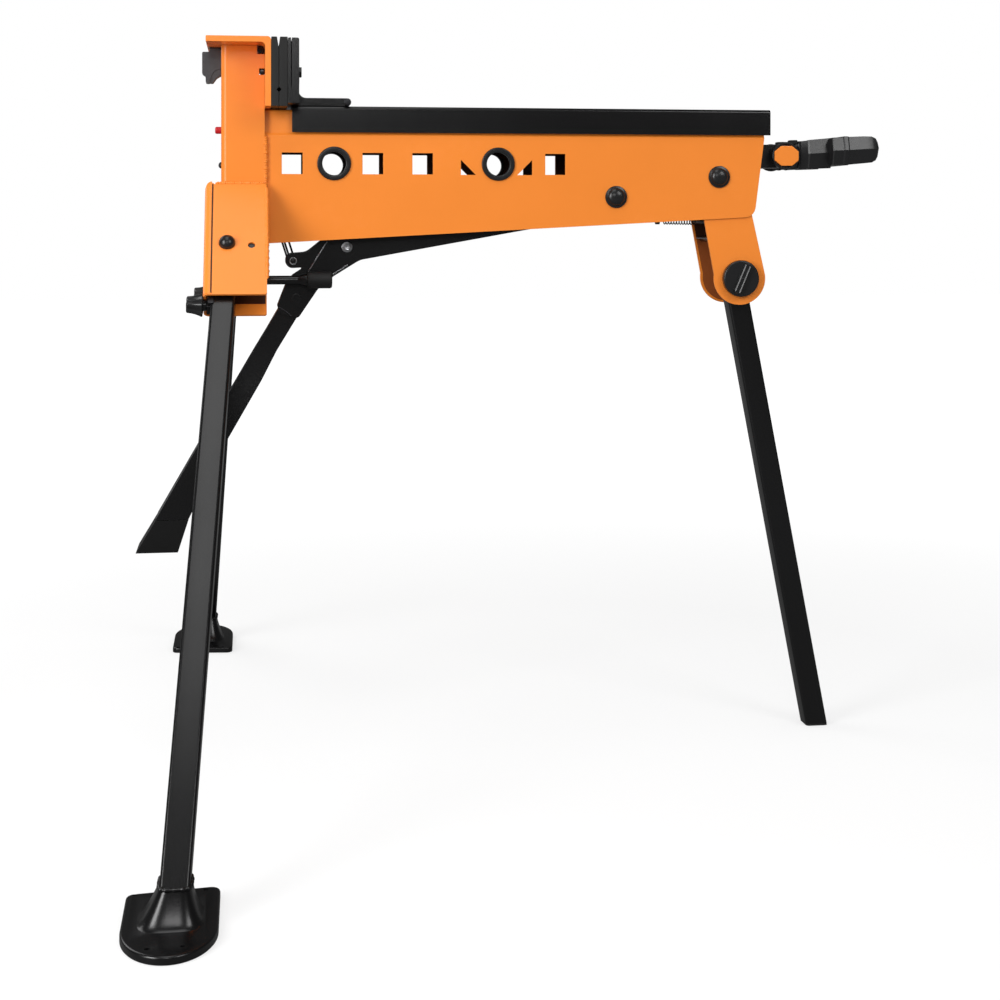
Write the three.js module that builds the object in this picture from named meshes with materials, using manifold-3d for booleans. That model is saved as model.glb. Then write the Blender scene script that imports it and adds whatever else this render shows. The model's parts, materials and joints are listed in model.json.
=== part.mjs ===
// Folding workbench with a foot-operated clamp: a splayed three-leg stand carries a long beam,
// a pedal under the beam pulls the sliding jaw against the fixed jaw.
// Millimetres, +Z up. The bench is built with X = 0 at the face of the fixed jaw's backing plate,
// +X along the beam towards the handle, and Y = 0 as its plane of symmetry. At the end it is moved
// so that its origin is the centre of its footprint on the floor.

import * as THREE from 'three';
import { mergeVertices } from 'three/addons/utils/BufferGeometryUtils.js';
import Module from 'manifold-3d';

const wasm = await Module();
wasm.setup();

// General sizes
const GAP = 0.3;
const TUBE = 32;
const TUBE_WALL = 2;
const TUBE_CORNER = 4;
const ROUND = 12;

// Column under the fixed jaw
const COLUMN = { left: -69.5, right: -9.3, half: 48, sheet: 3, bottom: 640, top: 990.7, bend: 9 };
const LEVER_SLOT = { half: 6.5, bottom: 943, top: 985.5 };
const BUTTON = { z: 874.5, radius: 5, hole: 5.5, flange: 8, out: -78.7, back: -62.5 };

// Jaws
const JAW_HALF = 100;
const BACKING = { left: -89.4, right: -1, bottom: 903.5, top: 999, plate: 8 };
const PAD = { bottom: 903.5, top: 998.5, groove: 926, grooveDepth: 3, grooveHalf: 3.5 };
const FIXED_PAD = { back: -0.7, face: 9.6, lead: 2.6, leadHeight: 16 };
const MOVING_PAD = { face: 10.2, back: 21.6, lead: 1, leadHeight: 8 };
const MOVING_JAW = { front: 22, back: 37.3, top: 997.5, slotLeft: 26.2, slotRight: 27.4, slotBottom: 930,
  footTop: 918.6, footHalf: 46, eye: 106 };
const JAW_BOLT = { y: 60, z: 953, radius: 4, head: 8, headHeight: 3.8 };

// Beam and slide
const BEAM = { left: -37, right: 697, half: 43.5, sheet: 2.5, shoulder: 866, railHalf: 40.3, top: 902.5 };
const BEAM_BOTTOM = { left: 713, right: 751.8 };
const SLIDE = { left: 28.6, right: 719.9, half: 47.4, sheet: 3, bottom: 870.5, top: 907.3 };
const DRIVE_BAR = { left: 60, right: 714.2, half: 15, bottom: 881, top: 887 };
const WINDOW = { size: 29, bottom: 812, lefts: [14.5, 127.5, 198, 388.5] };
const NOTCH = { bottom: 811.5, size: 21.5, left: 267, right: 369.5 };
const GROMMET = { xs: [87.5, 320.5], z: 827, flange: 24, neck: 19.6, hole: 16.5, bore: 20 };

// Pedal and clamp
const PIVOT = { x: 491.7, z: 780.5, radius: 6, cap: 16 };
const CRANK = { x: 491.7, z: 856, radius: 5 };
const LEVER = { inner: 17, outer: 21 };
const LEVER_BOLT = { x: 106.6, z: 709, head: 8, height: 5.5 };
const SOCKET_BOLT = { x: 35, z: 636, head: 8, height: 1.6 };
const LUG = { x: 30.6, z: 689.4, radius: 4 };
const SPRING_ANCHOR = { x: -3, z: 795, radius: 4 };
const ARM_WALL = 3;
const TREAD_WALL = 3.2;

// Slide lock
const LOCK = { x: 562.5, thick: 5, pivot: 838, pinRadius: 4, springZ: 747, armBottom: 741 };
const ROD = { y: 30, z: 862, radius: 2.5, play: 0.6 };
const RELEASE = { x: -46, z: 878, half: 5, hookHalf: 13, blade: 7 };

// Front legs: each leg turns on a bolt square to its splayed plane
const SPLAY = THREE.MathUtils.degToRad(39);
const LEAN = THREE.MathUtils.degToRad(3.15);
const LEG_BOLT = { x: -60.2, y: 99.1, z: 700.6, radius: 6, cap: 11.2 };
const LEG_TOP = 18;
const BRACKET = { left: -30.8, right: 53.2, half: 25, sheet: 3, bend: 7, bottom: -86, outerTop: 104.6,
  innerTop: 49 };
const LEG_KNOB = { down: 87, base: 17, tip: 11.5, lobes: 5, boss: 5, grip: 22, neck: 5 };
const FOOT = { x: -112, half: 51, innerLeft: 557, innerRight: 545, corner: 10, roundStart: 654, arc: 75 };
const FOOT_HEIGHT = 9;
const DOME_TOP = 45.7;

// Rear end
const REAR_PIN = { x: 644, z: 809.8 };
const REAR_PIVOT = { x: 675.5, z: 662.5, radius: 5 };
const REAR_LEAN = THREE.MathUtils.degToRad(10.68);
const CLEVIS = { inner: 36.7, outer: 40.7, round: 38.5 };
const REAR_KNOB = { radius: 26.5, back: 41.4, face: 52, bar: 59, barTurn: THREE.MathUtils.degToRad(-67) };
const HOOK_ROD = { x: 628, z: 746, radius: 4 };
const SPACER = { x: 640, z: 720, radius: 5 };
const HANDLE = { x: 746, z: 841, tongueHalf: 24, armInner: 24.5, armOuter: 37.7, gripHalf: 56, end: 17 };

// Post beside the pedal
const POST = { y: -34, z: 663, radius: 6.2, flare: 9.5, end: 81, bumper: 12, bumperStart: 50,
  bumperEnd: 85 };

// Finishes
const finish = (color, roughness, metalness) => new THREE.MeshStandardMaterial({ color, roughness,
  metalness });
const orange = finish(0xf08028, 0.38, 0);
const black = finish(0x17181a, 0.35, 0.1);
const plastic = finish(0x222326, 0.5, 0);
const rubber = finish(0x1b1b1c, 0.8, 0);
const zinc = finish(0xb9bcc0, 0.35, 0.9);
const red = finish(0xc8202a, 0.4, 0);

const bench = new THREE.Group();
const SIDES = { right: -1, left: 1 };

// Solids: a closed triangle mesh whose faces point out
function toSolid(shape) {
  if (!shape.isBufferGeometry) return shape;
  const source = shape.index ? shape.toNonIndexed() : shape;
  const bare = new THREE.BufferGeometry();
  bare.setAttribute('position', source.getAttribute('position'));
  const merged = mergeVertices(bare, 1e-4);
  const points = merged.getAttribute('position').array;
  const faces = [];
  const index = merged.index.array;
  for (let i = 0; i < index.length; i += 3) {
    const [a, b, c] = index.slice(i, i + 3);
    if (a !== b && b !== c && c !== a) faces.push(a, b, c);
  }
  if (signedVolume(points, faces) < 0) faces.reverse();
  const vertProperties = new Float32Array(points);
  const triVerts = new Uint32Array(faces);
  return new wasm.Manifold(new wasm.Mesh({ numProp: 3, vertProperties, triVerts }));
}

function signedVolume(points, faces) {
  const corner = (i) => new THREE.Vector3().fromArray(points, 3 * i);
  let total = 0;
  for (let i = 0; i < faces.length; i += 3) {
    total += corner(faces[i]).dot(corner(faces[i + 1]).cross(corner(faces[i + 2])));
  }
  return total;
}

function toGeometry(solid) {
  const { vertProperties, triVerts } = solid.getMesh();
  const geometry = new THREE.BufferGeometry();
  geometry.setAttribute('position', new THREE.BufferAttribute(vertProperties, 3));
  geometry.setIndex(new THREE.BufferAttribute(triVerts, 1));
  geometry.computeVertexNormals();
  return geometry;
}

const join = (first, ...rest) => rest.reduce((sum, next) => sum.add(toSolid(next)), toSolid(first));
const cut = (first, ...rest) => rest.reduce((sum, next) => sum.subtract(toSolid(next)), toSolid(first));
const common = (first, second) => toSolid(first).intersect(toSolid(second));

function piece(name, shape, material, parent = bench) {
  const mesh = new THREE.Mesh(toGeometry(toSolid(shape)), material);
  mesh.name = name;
  parent.add(mesh);
  return mesh;
}

// Outlines: straight runs whose corners [x, y, radius] are rounded by arcs
function outline(corners) {
  const shape = new THREE.Shape();
  const at = (i) => new THREE.Vector2(...corners[(i + corners.length) % corners.length]);
  corners.forEach(([x, y, radius = 0], i) => {
    if (radius === 0) {
      if (i === 0) shape.moveTo(x, y);
      else shape.lineTo(x, y);
      return;
    }
    const here = new THREE.Vector2(x, y);
    const back = at(i - 1).sub(here).normalize();
    const on = at(i + 1).sub(here).normalize();
    const half = Math.acos(THREE.MathUtils.clamp(back.dot(on), -1, 1)) / 2;
    const reach = radius / Math.tan(half);
    const middle = back.clone().add(on).normalize().multiplyScalar(radius / Math.sin(half)).add(here);
    const first = here.clone().addScaledVector(back, reach);
    const last = here.clone().addScaledVector(on, reach);
    if (i === 0) shape.moveTo(first.x, first.y);
    else shape.lineTo(first.x, first.y);
    const start = first.sub(middle).angle();
    const end = last.sub(middle).angle();
    shape.absarc(middle.x, middle.y, radius, start, end, back.cross(on) > 0);
  });
  return shape;
}

const extrude = (shape, depth, curveSegments = 2) =>
  new THREE.ExtrudeGeometry(shape, { depth, curveSegments, bevelEnabled: false });

// Prisms: an outline in one plane carried between two levels of the third axis
function prismXY(shape, low, high, arcSteps) {
  return extrude(shape, high - low, arcSteps).translate(0, 0, low);
}

function prismXZ(shape, low, high, arcSteps) {
  return extrude(shape, high - low, arcSteps).rotateX(Math.PI / 2).translate(0, high, 0);
}

function prismYZ(shape, low, high, arcSteps) {
  const turn = new THREE.Matrix4().makeBasis(
    new THREE.Vector3(0, 1, 0), new THREE.Vector3(0, 0, 1), new THREE.Vector3(1, 0, 0));
  return extrude(shape, high - low, arcSteps).applyMatrix4(turn).translate(low, 0, 0);
}

function box([x0, x1], [y0, y1], [z0, z1]) {
  const geometry = new THREE.BoxGeometry(x1 - x0, y1 - y0, z1 - z0);
  return geometry.translate((x0 + x1) / 2, (y0 + y1) / 2, (z0 + z1) / 2);
}

const rodX = (x0, x1, y, z, radius, sides = ROUND) =>
  new THREE.CylinderGeometry(radius, radius, x1 - x0, sides).rotateZ(Math.PI / 2).translate((x0 + x1) / 2,
    y, z);
const rodY = (y0, y1, x, z, radius, sides = ROUND) =>
  new THREE.CylinderGeometry(radius, radius, y1 - y0, sides).translate(x, (y0 + y1) / 2, z);

// A turned piece: [radius, station] pairs revolved about the Y axis through (x, z)
function turnedY(profile, x, z, sides = ROUND) {
  const points = profile.map(([radius, station]) => new THREE.Vector2(radius, station));
  return new THREE.LatheGeometry(points, sides).translate(x, 0, z);
}

// A pair of levels on one side of the middle plane, in rising order
const onSide = (side, a, b) => [side * a, side * b].sort((p, q) => p - q);

// Stacked level outlines joined by ruled walls
function loft(rings) {
  const count = rings[0].length;
  const points = rings.flat(2);
  const faces = [];
  for (let r = 0; r + 1 < rings.length; r += 1) {
    for (let i = 0; i < count; i += 1) {
      const j = (i + 1) % count;
      const [a, b, c, d] = [r * count + i, r * count + j, (r + 1) * count + j, (r + 1) * count + i];
      faces.push(a, b, c, a, c, d);
    }
  }
  const last = (rings.length - 1) * count;
  for (let i = 1; i + 1 < count; i += 1) {
    faces.push(0, i + 1, i, last, last + i, last + i + 1);
  }
  const geometry = new THREE.BufferGeometry();
  geometry.setAttribute('position', new THREE.Float32BufferAttribute(points, 3));
  geometry.setIndex(faces);
  return geometry;
}

// A tension spring: one unbroken wire that leaves the axis, winds its curls and comes back to the axis
function spring({ name, from, to, curls, pitch, radius, wire }) {
  const STEPS = 8;
  const WIRE_SIDES = 5;
  const axis = to.clone().sub(from);
  const length = axis.length();
  axis.normalize();
  const sideways = new THREE.Vector3(0, 1, 0).cross(axis).normalize();
  const across = axis.clone().cross(sideways);
  const lead = (length - curls * pitch) / 2;
  const path = [from.clone(), from.clone().addScaledVector(axis, 2 * wire)];
  const total = curls * STEPS;
  for (let k = 0; k <= total; k += 1) {
    const turn = (2 * Math.PI * k) / STEPS;
    const ramp = Math.min(1, k / (STEPS / 2), (total - k) / (STEPS / 2));
    const point = from.clone().addScaledVector(axis, lead + (pitch * k) / STEPS);
    point.addScaledVector(sideways, radius * ramp * Math.cos(turn));
    path.push(point.addScaledVector(across, radius * ramp * Math.sin(turn)));
  }
  path.push(to.clone().addScaledVector(axis, -2 * wire), to.clone());
  console.log(`${name}: least gap between curls ${(leastGap(path, STEPS) - wire).toFixed(2)} mm`);
  let normal = sideways.clone();
  const rings = path.map((point, i) => {
    const ahead = path[Math.min(i + 1, path.length - 1)];
    const tangent = ahead.clone().sub(path[Math.max(i - 1, 0)]).normalize();
    normal = normal.addScaledVector(tangent, -normal.dot(tangent)).normalize();
    const binormal = tangent.clone().cross(normal);
    return Array.from({ length: WIRE_SIDES }, (_, s) => {
      const angle = (2 * Math.PI * s) / WIRE_SIDES;
      const offset = normal.clone().multiplyScalar(Math.cos(angle)).addScaledVector(binormal,
        Math.sin(angle));
      return point.clone().addScaledVector(offset, wire / 2).toArray();
    });
  });
  return loft(rings);
}

// The least distance between points of a path that lie over half a turn apart
function leastGap(path, steps) {
  let least = Infinity;
  path.forEach((point, i) => {
    for (let j = i + steps / 2 + 2; j < path.length; j += 1) least = Math.min(least,
      point.distanceTo(path[j]));
  });
  return least;
}

// Column: a U-channel open towards the beam, slotted for the release lever
function buildColumn() {
  const { left, right, half, sheet, bend, bottom, top } = COLUMN;
  const inner = half - sheet;
  const plan = outline([
    [right, -half], [left, -half, bend], [left, half, bend], [right, half],
    [right, inner], [left + sheet, inner, bend - sheet], [left + sheet, -inner, bend - sheet],
    [right, -inner],
  ]);
  const web = [left - 1, left + sheet + 1];
  const slot = box(web, [-LEVER_SLOT.half, LEVER_SLOT.half], [LEVER_SLOT.bottom, LEVER_SLOT.top]);
  const buttonHole = rodX(...web, 0, BUTTON.z, BUTTON.hole);
  const cornerNotch = box([-20, right + 1], [-half - 1, half + 1], [979, top + 1]);
  const boltNotch = box([-17, right + 1], [-half - 1, half + 1], [950, 959]);
  piece('column', cut(prismXY(plan, bottom, top, 4), slot, buttonHole, cornerNotch, boltNotch), orange);
  const cap = rodX(BUTTON.out, BUTTON.back, 0, BUTTON.z, BUTTON.radius);
  const flange = rodX(left + sheet + GAP, BUTTON.back, 0, BUTTON.z, BUTTON.flange);
  piece('red_button', join(cap, flange), red);
}

// Jaws: a bent backing plate with its pad, and a sliding angle with its pad
function buildJaws() {
  const { left, right, bottom, top, plate } = BACKING;
  const angle = outline([
    [left, top - plate], [left, top, 2], [right, top, 4], [right, bottom], [right - plate, bottom],
    [right - plate, top - plate, 6],
  ]);
  piece('jaw_backing', prismXZ(angle, -JAW_HALF, JAW_HALF), orange);

  const padOutline = ({ face, back, lead, leadHeight }) => {
    const inward = Math.sign(back - face);
    return outline([
      [back, PAD.bottom], [face, PAD.bottom], [face, PAD.groove - PAD.grooveHalf],
      [face + inward * PAD.grooveDepth, PAD.groove], [face, PAD.groove + PAD.grooveHalf],
      [face, PAD.top - leadHeight], [face + inward * lead, PAD.top], [back, PAD.top],
    ]);
  };
  piece('fixed_jaw_pad', prismXZ(padOutline(FIXED_PAD), -JAW_HALF, JAW_HALF), rubber);

  const { front, back, footTop, footHalf, eye } = MOVING_JAW;
  const base = SLIDE.top + 0.4;
  const eyeRadius = (footTop - base) / 2;
  const eyeZ = base + eyeRadius;
  const upright = outline([[front, base], [front, MOVING_JAW.top, 1.5], [back, MOVING_JAW.top, 2.5],
    [back, base]]);
  const foot = outline([[back - 6, base], [back - 6, footTop + 14], [back, footTop + 14],
    [back + 2, footTop, 10],
    [eye, footTop], [eye, base]]);
  const boltHoles = [-1, 1].map((side) => rodX(15, back + 1, side * JAW_BOLT.y, JAW_BOLT.z,
    JAW_BOLT.radius + 0.4));
  const angleIron = join(
    prismXZ(upright, -JAW_HALF, JAW_HALF),
    prismXZ(foot, -footHalf, footHalf),
    rodY(-footHalf, footHalf, eye, eyeZ, eyeRadius));
  const slot = box([MOVING_JAW.slotLeft, MOVING_JAW.slotRight], [-JAW_HALF - 1, JAW_HALF + 1],
    [MOVING_JAW.slotBottom, MOVING_JAW.top + 1]);
  piece('moving_jaw', cut(angleIron, slot, ...boltHoles, rodY(-60, 60, eye, eyeZ, 3.8)), black);
  const pad = prismXZ(padOutline(MOVING_PAD), -JAW_HALF, JAW_HALF);
  piece('moving_jaw_pad', cut(pad, ...boltHoles), rubber);
  const head = footHalf + 0.4;
  piece('jaw_pin', turnedY([[0, -52], [5, -52], [5, -head], [3.5, -head], [3.5, head], [5, head],
    [5, 52], [0, 52]],
    eye, eyeZ), zinc);
  for (const [label, side] of Object.entries(SIDES)) {
    const y = side * JAW_BOLT.y;
    const shank = rodX(16, back + 1, y, JAW_BOLT.z, JAW_BOLT.radius);
    piece(`jaw_bolt_${label}`, join(shank, rodX(back + 0.4, back + 0.4 + JAW_BOLT.headHeight, y, JAW_BOLT.z,
      JAW_BOLT.head, 6)), zinc);
  }
}

// Slide: an inverted channel over the beam's rail, with an end plate that carries the drive bar
function buildSlide() {
  const { left, right, half, sheet, bottom, top } = SLIDE;
  const inner = half - sheet;
  const section = outline([[-half, bottom], [-half, top, 4], [half, top, 4], [half, bottom],
    [inner, bottom], [inner, top - sheet], [-inner, top - sheet], [-inner, bottom]]);
  const plateLeft = DRIVE_BAR.right + GAP;
  const endPlate = box([plateLeft, plateLeft + sheet], [-inner - 1, inner + 1], [873, top - sheet + 1]);
  piece('slide_channel', join(prismYZ(section, left, right), endPlate), black);
  piece('drive_bar', box([DRIVE_BAR.left, DRIVE_BAR.right], [-DRIVE_BAR.half, DRIVE_BAR.half],
    [DRIVE_BAR.bottom, DRIVE_BAR.top]), zinc);
}

// Beam: an open-bottomed body with a narrower rail on top, cut to its tapering side outline
function buildBeam() {
  const { left, right, half, sheet, shoulder, railHalf, top } = BEAM;
  const low = BEAM_BOTTOM.left - 10;
  const inner = half - sheet;
  const railInner = railHalf - sheet;
  const section = outline([
    [-half, low], [-half, shoulder], [-railHalf, shoulder + 4], [-railHalf, top, 4],
    [railHalf, top, 4], [railHalf, shoulder + 4], [half, shoulder], [half, low],
    [inner, low], [inner, shoulder - 1], [railInner, shoulder + 3], [railInner, top - sheet],
    [-railInner, top - sheet], [-railInner, shoulder + 3], [-inner, shoulder - 1], [-inner, low],
  ]);
  const side = outline([[left, BEAM_BOTTOM.left], [right, BEAM_BOTTOM.right, 16], [712.2, 870],
    [711.5, top + 5],
    [left, top + 5]]);
  const through = [-half - 5, half + 5];
  const windows = WINDOW.lefts.map((x) =>
    box([x, x + WINDOW.size], through, [WINDOW.bottom, WINDOW.bottom + WINDOW.size + 1]));
  const triangle = (x, reach) => prismXZ(outline([
    [x, NOTCH.bottom], [x + reach, NOTCH.bottom], [x, NOTCH.bottom + NOTCH.size]]), ...through);
  const rounds = GROMMET.xs.map((x) => rodY(...through, x, GROMMET.z, GROMMET.bore, 24));
  const pinHoles = [PIVOT, REAR_PIN].map(({ x, z }) => rodY(...through, x, z, PIVOT.radius + GAP));
  const body = common(prismYZ(section, left, right + 20), prismXZ(side, ...through));
  piece('beam', cut(body, ...windows, triangle(NOTCH.left, NOTCH.size), triangle(NOTCH.right, -NOTCH.size),
    ...rounds, ...pinHoles), orange);

  for (const [label, sign] of Object.entries(SIDES)) {
    GROMMET.xs.forEach((x, i) => {
      const ring = turnedY([[GROMMET.hole, inner - 2], [GROMMET.neck, inner - 2],
        [GROMMET.neck, half + GAP],
        [GROMMET.flange, half + GAP], [GROMMET.flange - 1.5, half + 2.8], [GROMMET.hole, half + 2.8],
        [GROMMET.hole, inner - 2]], 0, 0, 24);
      if (sign < 0) ring.rotateX(Math.PI);
      piece(`grommet_${i === 0 ? 'front' : 'rear'}_${label}`, ring.translate(x, 0, GROMMET.z), plastic);
    });
  }
  const dome = [[PIVOT.radius, 0], [PIVOT.cap, 0], [PIVOT.cap, 2], [12.5, 2.5], [11, 5.5], [7, 7.5],
    [0, 8.5]];
  const capped = (reach) => [...dome.map(([radius, rise]) => [radius, -reach - rise]).reverse(),
    ...dome.map(([radius, rise]) => [radius, reach + rise])];
  piece('lever_pivot_pin', turnedY(capped(half + GAP), PIVOT.x, PIVOT.z, 16), plastic);
  piece('rear_cross_pin', turnedY(capped(half + GAP), REAR_PIN.x, REAR_PIN.z, 16), plastic);
}

// Pedal: two lever plates on the pivot pin, a flared arm between them and a rubber tread
function buildPedal() {
  const plate = outline([
    [478.7, 869, 12], [504.7, 869, 12], [506, 800], [516, 778, 16], [506, 757, 16], [462, 750, 10],
    [355, 731.5], [125, 690.5, 20], [88.4, 668], [66, 650, 20], [38, 608.5, 5], [11, 616, 4], [8.5, 626, 4],
    [19.4, 654, 10], [31, 668, 6], [43, 679.5, 2], [20.2, 679, 9.5], [20.2, 699.8, 9.5], [50, 702, 20],
    [68.6, 717, 10],
    [100, 738, 20], [462, 806, 12], [478.7, 826],
  ]);
  const bores = [
    [PIVOT, PIVOT.radius + GAP], [CRANK, CRANK.radius + GAP], [LEVER_BOLT, 5.3], [SOCKET_BOLT, 5.3],
    [LUG, 4.3],
  ].map(([{ x, z }, radius]) => rodY(-60, 60, x, z, radius));
  for (const [label, side] of Object.entries(SIDES)) {
    piece(`lever_plate_${label}`, cut(prismXZ(plate, ...onSide(side, LEVER.inner, LEVER.outer)),
      ...bores), black);
  }

  // Level outlines of the arm: height, left edge, right edge and half width
  const levels = [[660, 32, 67, 16.4], [592, -7.5, 25.6, 16.4], [563, -25, 8, 16.4], [520, -50, -14, 18],
    [438, -98, -61.6, 28], [330, -160, -114.5, 36], [284.5, -187, -129, 38]];
  const ring = ([z, left, right, half], inset) => [
    [left + inset, -half + inset, z], [right - inset, -half + inset, z],
    [right - inset, half - inset, z], [left + inset, half - inset, z]];
  const lowest = levels.length - 1;
  const mix = (t) => levels[lowest].map((value, i) => value + t * (levels[lowest - 1][i] - value));
  const treadTop = mix(1);
  const armEnd = mix(0.12);
  const outer = [...levels.slice(0, lowest - 1).map((level) => ring(level, 0)), ring(treadTop, 0),
    ring([treadTop[0] - 0.5, ...treadTop.slice(1)], TREAD_WALL + 0.4), ring(armEnd, TREAD_WALL + 0.4)];
  const hollow = [...levels.slice(0, lowest - 1), treadTop].map((level, i) =>
    ring(i === 0 ? [level[0] - ARM_WALL, level[1], level[2], level[3]] : level,
    ARM_WALL + (i > 4 ? 3.6 : 0)));
  hollow.push(ring(mix(-0.1), TREAD_WALL + 0.4 + ARM_WALL));
  const socketBore = rodY(-60, 60, SOCKET_BOLT.x, SOCKET_BOLT.z, 5.3);
  piece('pedal_arm', cut(loft(outer), loft(hollow), socketBore), black);
  const sleeveTop = treadTop[0] - 0.5 - GAP;
  const sleeve = loft([ring([sleeveTop, ...treadTop.slice(1)], 0), ring(levels[lowest], 0)]);
  const socket = loft([ring([sleeveTop + 1, ...treadTop.slice(1)], TREAD_WALL), ring(mix(0.11),
    TREAD_WALL)]);
  piece('pedal_tread', cut(sleeve, socket), rubber);

  const bolt = ({ x, z, head, height }) => turnedY([[0, -21.4 - height], [head - 1, -21.4 - height],
    [head, -20.4 - height], [head, -21.4], [5, -21.4], [5, 21.4], [head, 21.4], [head, 20.4 + height],
    [head - 1, 21.4 + height], [0, 21.4 + height]], x, z, 12);
  piece('lever_bolt', bolt(LEVER_BOLT), zinc);
  piece('socket_bolt', bolt(SOCKET_BOLT), black);
  piece('spring_lug_pin', rodY(-22.5, 22.5, LUG.x, LUG.z, LUG.radius), zinc);
  piece('crank_pin', rodY(-22.5, 22.5, CRANK.x, CRANK.z, CRANK.radius), zinc);

  // Drive dog: a plate that hangs on the crank pin and grips the drive bar through its window
  const dog = outline([[-16.5, 845, 8], [16.5, 845, 8], [16.5, 870.5], [22, 871.5], [22, 896.5, 3],
    [-22, 896.5, 3],
    [-22, 871.5], [-16.5, 870.5]]);
  const window = box([480, 505], [-15.6, 15.6], [876, 892.5]);
  const dogBore = rodY(-30, 30, CRANK.x, CRANK.z, CRANK.radius + GAP);
  piece('drive_dog', cut(prismYZ(dog, CRANK.x - 6.5, CRANK.x + 6.5), window, dogBore), zinc);

  piece('spring_anchor_rod', rodY(-40.6, 40.6, SPRING_ANCHOR.x, SPRING_ANCHOR.z, SPRING_ANCHOR.radius),
    zinc);
  const low = new THREE.Vector3(LUG.x, 0, LUG.z);
  const high = new THREE.Vector3(SPRING_ANCHOR.x, 0, SPRING_ANCHOR.z);
  const pull = high.clone().sub(low).normalize();
  piece('return_spring', spring({
    name: 'return spring',
    from: low.addScaledVector(pull, LUG.radius + GAP),
    to: high.addScaledVector(pull, -SPRING_ANCHOR.radius - GAP),
    curls: 13, pitch: 3.2, radius: 8, wire: 2,
  }), zinc);
}

// Slide lock: a tilting plate round the drive bar, its spring, and the rod from the release lever
function buildLock() {
  const faceLeft = LOCK.x - LOCK.thick / 2;
  const faceRight = LOCK.x + LOCK.thick / 2;
  const lockOutline = outline([[-7, LOCK.armBottom, 5], [7, LOCK.armBottom, 5], [8, 815], [21.5, 852],
    [36, 855, 4],
    [36, 869, 4], [21.5, 872], [21.5, 896.5, 3], [-21.5, 896.5, 3], [-21.5, 852], [-8, 815]]);
  const window = box([faceLeft - 5, faceRight + 5], [-15.7, 15.7], [877, 891.5]);
  const barrel = rodY(-20, 20, LOCK.x, LOCK.pivot, 8);
  const bore = rodY(-30, 30, LOCK.x, LOCK.pivot, LOCK.pinRadius + GAP);
  piece('lock_plate', cut(join(prismYZ(lockOutline, faceLeft, faceRight), barrel), window, bore), zinc);
  piece('lock_pin', rodY(-40.6, 40.6, LOCK.x, LOCK.pivot, LOCK.pinRadius), zinc);
  const rodLeft = RELEASE.x + RELEASE.blade + ROD.play;
  piece('release_rod', rodX(rodLeft, faceLeft - ROD.play, ROD.y, ROD.z, ROD.radius, 8), zinc);
  const guide = box([250, 258], [24, 36], [853, BEAM.top - BEAM.sheet - GAP]);
  piece('rod_guide', cut(guide, rodX(240, 270, ROD.y, ROD.z, ROD.radius + 0.5, 8)), plastic);
  piece('lock_spring', spring({
    name: 'lock spring',
    from: new THREE.Vector3(faceRight + GAP, 0, LOCK.springZ),
    to: new THREE.Vector3(HOOK_ROD.x - HOOK_ROD.radius - GAP, 0, HOOK_ROD.z),
    curls: 27, pitch: 1.85, radius: 5.4, wire: 1.3,
  }), zinc);

  const { x, z, blade, half, hookHalf } = RELEASE;
  const bladeOutline = outline([[x - blade, 854, 4], [x + blade, 854, 4], [x + blade, 982, 6],
    [-72, 982], [-72, 962],
    [x - blade, 962, 5]]);
  const hookOutline = outline([[-70.1, 985], [-72, 989], [-85, 989], [-87, 984.5], [-96.5, 984.5, 2],
    [-96.5, 954, 1.5], [-91.8, 950.5, 1], [-91.4, 941.2, 1.2], [-86.6, 940.6, 1.2], [-84.2, 949.5, 1],
    [-80.2, 957.5, 2], [-70.1, 961.5]]);
  const toe = box([x - blade, x + blade], [-half, ROD.y + 5], [856, 868]);
  const lever = join(prismXZ(bladeOutline, -half, half), toe, prismXZ(hookOutline, -hookHalf, hookHalf));
  piece('release_lever', cut(lever, rodY(-20, 20, x, z, 4.3)), plastic);
  const pinEnd = COLUMN.half - COLUMN.sheet - GAP;
  piece('release_pin', rodY(-pinEnd, pinEnd, x, z, 4), zinc);
}

const tubeOutline = (size, corner) => outline([[-size / 2, -size / 2, corner],
  [size / 2, -size / 2, corner],
  [size / 2, size / 2, corner], [-size / 2, size / 2, corner]]);

function legTube(top, length) {
  const outside = prismXY(tubeOutline(TUBE, TUBE_CORNER), -length, top, 1);
  const inside = prismXY(tubeOutline(TUBE - 2 * TUBE_WALL, TUBE_CORNER - TUBE_WALL), -length - 1, top + 1,
    1);
  return cut(outside, inside);
}

// A shape given in the bench's frame, carried into a group's own frame
function inFrameOf(group, shape) {
  group.updateWorldMatrix(true, false);
  return toGeometry(toSolid(shape)).applyMatrix4(group.matrixWorld.clone().invert());
}

const belowLevel = (z) => box([-2000, 2000], [-2000, 2000], [z - 500, z]);

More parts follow.
